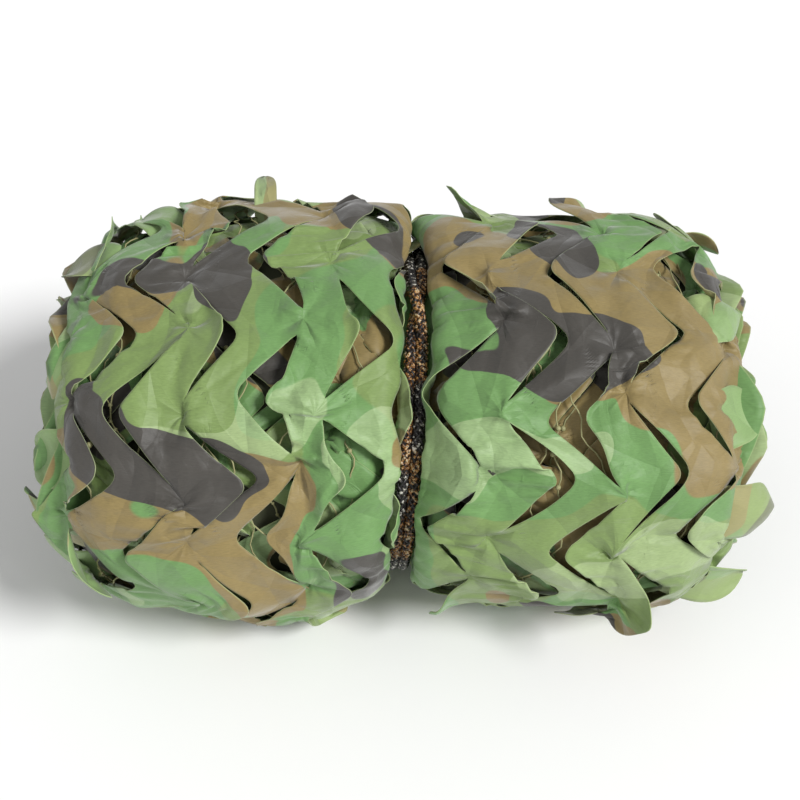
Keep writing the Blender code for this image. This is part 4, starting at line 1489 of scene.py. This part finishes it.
def braid_tree(yarn_look, core_look):
    """Geometry Nodes: a braid of yarns and a core along each line of the guide."""
    sizes = {
        "Yarns": YARNS,
        "Yarn radius": YARN_RADIUS,
        "Braid radius": BRAID_RADIUS,
        "Weave": BRAID_WEAVE,
    }
    tree, given = guided_tree("braided cord", "Cord", sizes)
    lines = add_node(tree, "GeometryNodeMeshToCurve", {"Mesh": given["Guide"]}).outputs["Curve"]
    inputs = {"Geometry": lines, "Amount": given["Yarns"]}
    copies = add_node(tree, "GeometryNodeDuplicateElements", inputs, domain="SPLINE").outputs
    marked = stored(tree, copies["Geometry"], "yarn", copies["Duplicate Index"], domain="CURVE")
    yarn, pitch = read_field(tree, "yarn"), read_field(tree, "pitch")
    tangent = add_node(tree, "GeometryNodeInputTangent").outputs["Tangent"]
    across = vectors(tree, "CROSS_PRODUCT", tangent, read_field(tree, "out", "FLOAT_VECTOR"))
    across = vectors(tree, "NORMALIZE", across)
    square = vectors(tree, "CROSS_PRODUCT", across, tangent)
    odd = maths(tree, "MODULO", yarn, 2.0)
    way = maths(tree, "SUBTRACT", 1.0, maths(tree, "MULTIPLY", odd, 2.0))
    quarter = maths(tree, "FLOOR", maths(tree, "DIVIDE", yarn, 2.0))
    turned = maths(tree, "MULTIPLY", maths(tree, "MULTIPLY", pitch, 2.0 * math.pi), way)
    angle = maths(tree, "ADD", turned, maths(tree, "MULTIPLY", quarter, math.pi / 2.0))
    wave = maths(tree, "COSINE", maths(tree, "MULTIPLY", pitch, 8.0 * math.pi))
    wave = maths(tree, "MULTIPLY", maths(tree, "MULTIPLY", wave, way), given["Weave"])
    reach = maths(tree, "ADD", wave, given["Braid radius"])
    over = vectors(tree, "SCALE", square, maths(tree, "MULTIPLY", maths(tree, "COSINE", angle), reach))
    aside = vectors(tree, "SCALE", across, maths(tree, "MULTIPLY", maths(tree, "SINE", angle), reach))
    # The frame is read before the yarns move, or each yarn would turn about its own tangent.
    marked = stored(tree, marked, "moved", vectors(tree, "ADD", over, aside), "FLOAT_VECTOR")
    inputs = {"Geometry": marked, "Offset": read_field(tree, "moved", "FLOAT_VECTOR")}
    laid = add_node(tree, "GeometryNodeSetPosition", inputs).outputs["Geometry"]
    yarns = tube(tree, laid, given["Yarn radius"], 6)
    core = tube(tree, lines, given["Braid radius"], 8)
    core = stored(tree, core, "is_core", True, "BOOLEAN", "FACE")
    cord = joined_smooth(tree, yarns, core)
    is_core = read_field(tree, "is_core", "BOOLEAN")
    return finished(tree, cord, (yarn_look, True), (core_look, is_core))


# %% Yarn colours
AMBER_YARN = (
    # level of the noise, colour on a screen
    (0.00, (24, 20, 20)),
    (0.46, (32, 26, 23)),
    (0.50, (84, 52, 26)),
    (0.56, (150, 98, 42)),
    (0.61, (184, 142, 84)),
    (0.65, (218, 204, 172)),
    (0.70, (60, 44, 32)),
    (1.00, (40, 32, 28)),
)
BLACK_YARN = (
    # level of the noise, colour on a screen
    (0.00, (22, 22, 24)),
    (0.55, (34, 32, 32)),
    (0.60, (104, 98, 86)),
    (0.65, (214, 212, 202)),
    (1.00, (226, 224, 216)),
)
FLECKS = 6.5  # a pitch
FLECK_CHANGE = 5.7  # how much the flecks of one yarn differ from those of the next
YARN_ROUGHNESS = 0.40
BLACK_AT_BACK = (0.015, 0.045, 0.0, 0.2)  # y from, y to, and how much more black there
BLACK_AND_SHADE_LOW = (0.088, 0.062, 0.0, 0.2)  # z from, z to, and how much more black there: black yarn, and painted shade under the roll's curve
FIBRE_DEPTH = 0.0003


def colour_ramp(tree, level, stops):
    ramp = add_node(tree, "ShaderNodeValToRGB", {"Fac": level})
    elements = ramp.color_ramp.elements
    while len(elements) < len(stops):
        elements.new(0.5)
    for element, (position, colour) in zip(elements, stops):
        element.position = position
        element.color = linear(*colour)
    return ramp.outputs["Color"]


def yarn_material():
    """Flecks on each yarn: amber, brown and black, or black and white, changing along the cord."""
    material, tree, shader = new_material("mottled yarn")
    place = add_node(tree, "ShaderNodeTexCoord").outputs["Object"]
    yarn, pitch = (
        add_node(tree, "ShaderNodeAttribute", attribute_name=name).outputs["Fac"]
        for name in ("yarn", "pitch")
    )
    spot = {"X": maths(tree, "MULTIPLY", pitch, FLECKS), "Y": maths(tree, "MULTIPLY", yarn, FLECK_CHANGE)}
    fleck = noise(tree, add_node(tree, "ShaderNodeCombineXYZ", spot).outputs[0], 1.0, 1.5)["Fac"]
    fine = maths(tree, "SUBTRACT", noise(tree, place, 900.0, 1.0)["Fac"], 0.5)
    level = maths(tree, "MULTIPLY_ADD", fine, 0.55, fleck)
    amber, black = colour_ramp(tree, level, AMBER_YARN), colour_ramp(tree, level, BLACK_YARN)
    slow = add_node(tree, "ShaderNodeCombineXYZ", {"X": maths(tree, "MULTIPLY", pitch, 0.42)})
    slow = noise(tree, slow.outputs[0], 1.0, 0.0)["Fac"]
    sides = add_node(tree, "ShaderNodeSeparateXYZ", {"Vector": place}).outputs
    far_share = ranged(tree, sides["Y"], *BLACK_AT_BACK)
    # Lower down the cord gets blacker: its black yarn, and painted shade where it runs under the roll's
    # curve.
    low_black_and_shade = ranged(tree, sides["Z"], *BLACK_AND_SHADE_LOW)
    share = maths(tree, "ADD", slow, maths(tree, "ADD", far_share, low_black_and_shade))
    colour = blend(tree, ranged(tree, share, 0.53, 0.57), amber, black)
    tree.links.new(colour, shader.inputs["Base Color"])
    shader.inputs["Roughness"].default_value = YARN_ROUGHNESS
    fibres = bump(tree, noise(tree, place, 1500.0, 1.0)["Fac"], FIBRE_DEPTH, strength=0.5)
    tree.links.new(fibres, shader.inputs["Normal"])
    return material


yarn_look = yarn_material()
dark_core = plain_material("cord core", linear(28, 22, 20), 0.8)
print("yarn:", len(AMBER_YARN), "amber and", len(BLACK_YARN), "black steps of colour")

# %% Braid the cord
cord_lines = [(loop_place, loop_out, loop_pitch, True)]
knot_length = 0.0
for strand in KNOT_STRANDS.values():
    strand_place, strand_out, strand_pitch, strand_length = knot_path(strand)
    knot_length += strand_length
    cord_lines.append((strand_place, strand_out, strand_pitch, False))
braided_tie = guide_mesh("braided_tie", cord_lines)
grow(braided_tie, braid_tree(yarn_look, dark_core), Yarns=YARNS)
print(f"braided tie: {triangles(braided_tie)} triangles, and {knot_length:.3f} m of cord in its knot")

# %% [markdown]
# ## The string mesh
# A netting of thin string lies behind each sheet and is knotted to its bridges. Through the gaps it
# shows as pale lines that cross, with a small knot here and there. Its lines are worked out on the
# roll with the same skin function, a little wavy, and Geometry Nodes turn them into string and knots.

# %% Lay the string
STRING_RADIUS = 0.00055
STRING_MESH = 0.040  # from one string to the next
KNOT_SIZE = 0.0013
STRING_LAYERS = (
    # out from the smooth cloth, seed
    (-0.0078, 3),
    (-0.0150, 8),
)
STRING_START = math.radians(185)
KNOT_EVERY = 9  # points of string
STRING_HIGH = 0.004  # least height over the floor


def string_lines(depth, seed):
    """Two families of slanting lines once round the roll at a depth under the smooth cloth."""
    rng = np.random.default_rng(seed)
    turn = np.linspace(STRING_START, STRING_START + 2.0 * math.pi, 150)
    lines = []
    for slant in (1.0, -1.0):
        for number in range(int(CLOTH_WIDTH / STRING_MESH) + 8):
            start = (number - 4) * STRING_MESH + rng.normal(0.0, 0.003)
            drift = 0.012 * np.sin(turn * 4.5 + rng.uniform(0.0, 6.3))
            drift = drift + slant * 0.030 * (turn - STRING_START)
            along = start + drift + 0.002 * np.sin(turn * 31.0 + rng.uniform(0.0, 6.3))
            inside = (along > 0.006) & (along < CLOTH_WIDTH - 0.006) & (np.abs(along - WAIST) > 0.024)
            sag = 0.0018 * np.sin(turn * 17.0 + rng.uniform(0.0, 6.3))
            point = skin(along, turn) + outward(along, turn) * (depth + sag)[:, None]
            point[:, 2] = np.maximum(point[:, 2], STRING_HIGH)
            for run in np.split(np.arange(len(turn)), np.flatnonzero(np.diff(inside.astype(int))) + 1):
                if inside[run[0]] and len(run) > 4:
                    lines.append((point[run], np.zeros((len(run), 3)), np.zeros(len(run)), False))
    return lines


def string_knots(lines, every, seed):
    """A knot about every so many points of the string."""
    rng = np.random.default_rng(seed)
    points = np.concatenate([line[0] for line in lines])
    return points[rng.uniform(0.0, 1.0, len(points)) < 1.0 / every]


def string_tree(material):
    """Geometry Nodes: string along the edges of the guide, and a knot at each of its loose points."""
    sizes = {"String radius": STRING_RADIUS, "Knot radius": KNOT_SIZE}
    tree, given = guided_tree("string mesh", "String", sizes)
    lines = add_node(tree, "GeometryNodeMeshToCurve", {"Mesh": given["Guide"]}).outputs["Curve"]
    string = tube(tree, lines, given["String radius"], 4)
    inputs = {0: read_field(tree, "pitch"), 1: 0.5}
    is_knot = add_node(
        tree, "FunctionNodeCompare", inputs, data_type="FLOAT", operation="GREATER_THAN"
    ).outputs["Result"]
    inputs = {"Mesh": given["Guide"], "Selection": is_knot}
    spots = add_node(tree, "GeometryNodeMeshToPoints", inputs).outputs["Points"]
    inputs = {"Radius": given["Knot radius"], "Subdivisions": 2}
    ball = add_node(tree, "GeometryNodeMeshIcoSphere", inputs).outputs["Mesh"]
    inputs = {2: 0.7, 3: 1.5, "Seed": 4}
    size = add_node(tree, "FunctionNodeRandomValue", inputs, data_type="FLOAT").outputs[1]
    inputs = {"Points": spots, "Instance": ball, "Scale": size}
    knots = add_node(tree, "GeometryNodeInstanceOnPoints", inputs).outputs["Instances"]
    return finished(tree, joined_smooth(tree, string, knots), (material, True))


string_look = plain_material("pale string", linear(150, 148, 104), 0.6)
netting_lines = [line for depth, seed in STRING_LAYERS for line in string_lines(depth, seed)]
for knot in string_knots(netting_lines, KNOT_EVERY, 12):
    netting_lines.append((knot[None, :], np.zeros((1, 3)), np.ones(1), False))
netting = guide_mesh("string_netting", netting_lines)
grow(netting, string_tree(string_look))
print("string:", triangles(netting), "triangles")

# %% [markdown]
# ## Floor, light and camera
# The photograph is a cut-out on white, taken from about 42 degrees above with soft light from above and
# the front. A large pale floor, a bright sky and two large lamps give the same light.

# %% Floor, light and camera
CAMERA_ELEVATION = math.radians(42)
CAMERA_DISTANCE = 0.88
FRAME_WIDTH = 0.5350  # metres across the picture at the middle of the roll
LAMPS = (
    # name, towards it, how wide it looks in degrees, strength
    ("key", (0.90, -0.62, 1.0), 18.0, 3.1),
    ("fill", (-0.8, -0.8, 0.8), 50.0, 0.35),
)
SKY_LIGHT = 0.46
SKY_SEEN = 1.0
FLOOR_HALF = 12.0
AIM = (-0.0010, 0.0, CORE_HEIGHT + 0.0055)


def floor_and_light():
    mesh = bpy.data.meshes.new("floor")
    corners = [(FLOOR_HALF * x, FLOOR_HALF * y, 0.0) for x, y in ((-1, -1), (1, -1), (1, 1), (-1, 1))]
    mesh.from_pydata(corners, [], [(0, 1, 2, 3)])
    floor = new_object("floor", mesh)
    floor.data.materials.append(plain_material("pale floor", (0.88, 0.88, 0.88, 1.0), 0.9))
    world = bpy.data.worlds.new("studio")
    bpy.context.scene.world = world
    world.use_nodes = True
    # The sky lights the net softly, and is as pale as the floor where it is seen past the floor's edge.
    sky = world.node_tree.nodes["Background"].inputs
    sky["Color"].default_value = (1.0, 1.0, 1.0, 1.0)
    seen = add_node(world.node_tree, "ShaderNodeLightPath").outputs["Is Camera Ray"]
    level = maths(world.node_tree, "MULTIPLY_ADD", seen, SKY_SEEN - SKY_LIGHT, SKY_LIGHT)
    world.node_tree.links.new(level, sky["Strength"])
    for name, towards, width, strength in LAMPS:
        lamp = bpy.data.lights.new(name, "SUN")
        lamp.angle = math.radians(width)
        lamp.energy = strength
        thing = bpy.data.objects.new(name, lamp)
        thing.rotation_euler = Vector(towards).to_track_quat("Z", "Y").to_euler()
        bpy.context.scene.collection.objects.link(thing)
    bpy.context.scene.view_settings.view_transform = "Standard"


def add_camera():
    lens = bpy.data.cameras.new("camera")
    lens.sensor_width = 36.0
    lens.lens = lens.sensor_width * CAMERA_DISTANCE / FRAME_WIDTH
    camera = bpy.data.objects.new("camera", lens)
    back = Vector((0.0, -math.cos(CAMERA_ELEVATION), math.sin(CAMERA_ELEVATION)))
    camera.location = Vector(AIM) + back * CAMERA_DISTANCE
    camera.rotation_mode = "QUATERNION"
    camera.rotation_quaternion = (-back).to_track_quat("-Z", "Y")
    bpy.context.scene.collection.objects.link(camera)
    bpy.context.scene.camera = camera


floor_and_light()
add_camera()
print(len(LAMPS), "lamps, and a lens of", round(bpy.context.scene.camera.data.lens, 1), "mm")

# %% [markdown]
# ## Hanging the pieces on the frame
# Each piece hangs on the root body, and the imported solids of the roll and the tie are hidden.

# %% Hang the pieces on the root body and hide the solids
cloth_pieces = (
    outer_left,
    outer_right,
    under_net,
    ribbon_left,
    ribbon_right,
    loose_leaves,
    packed_turns,
    netting,
)
for piece in cloth_pieces:
    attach(piece, "root")
    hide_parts("net_roll")

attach(braided_tie, "root")
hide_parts("tie_cord")
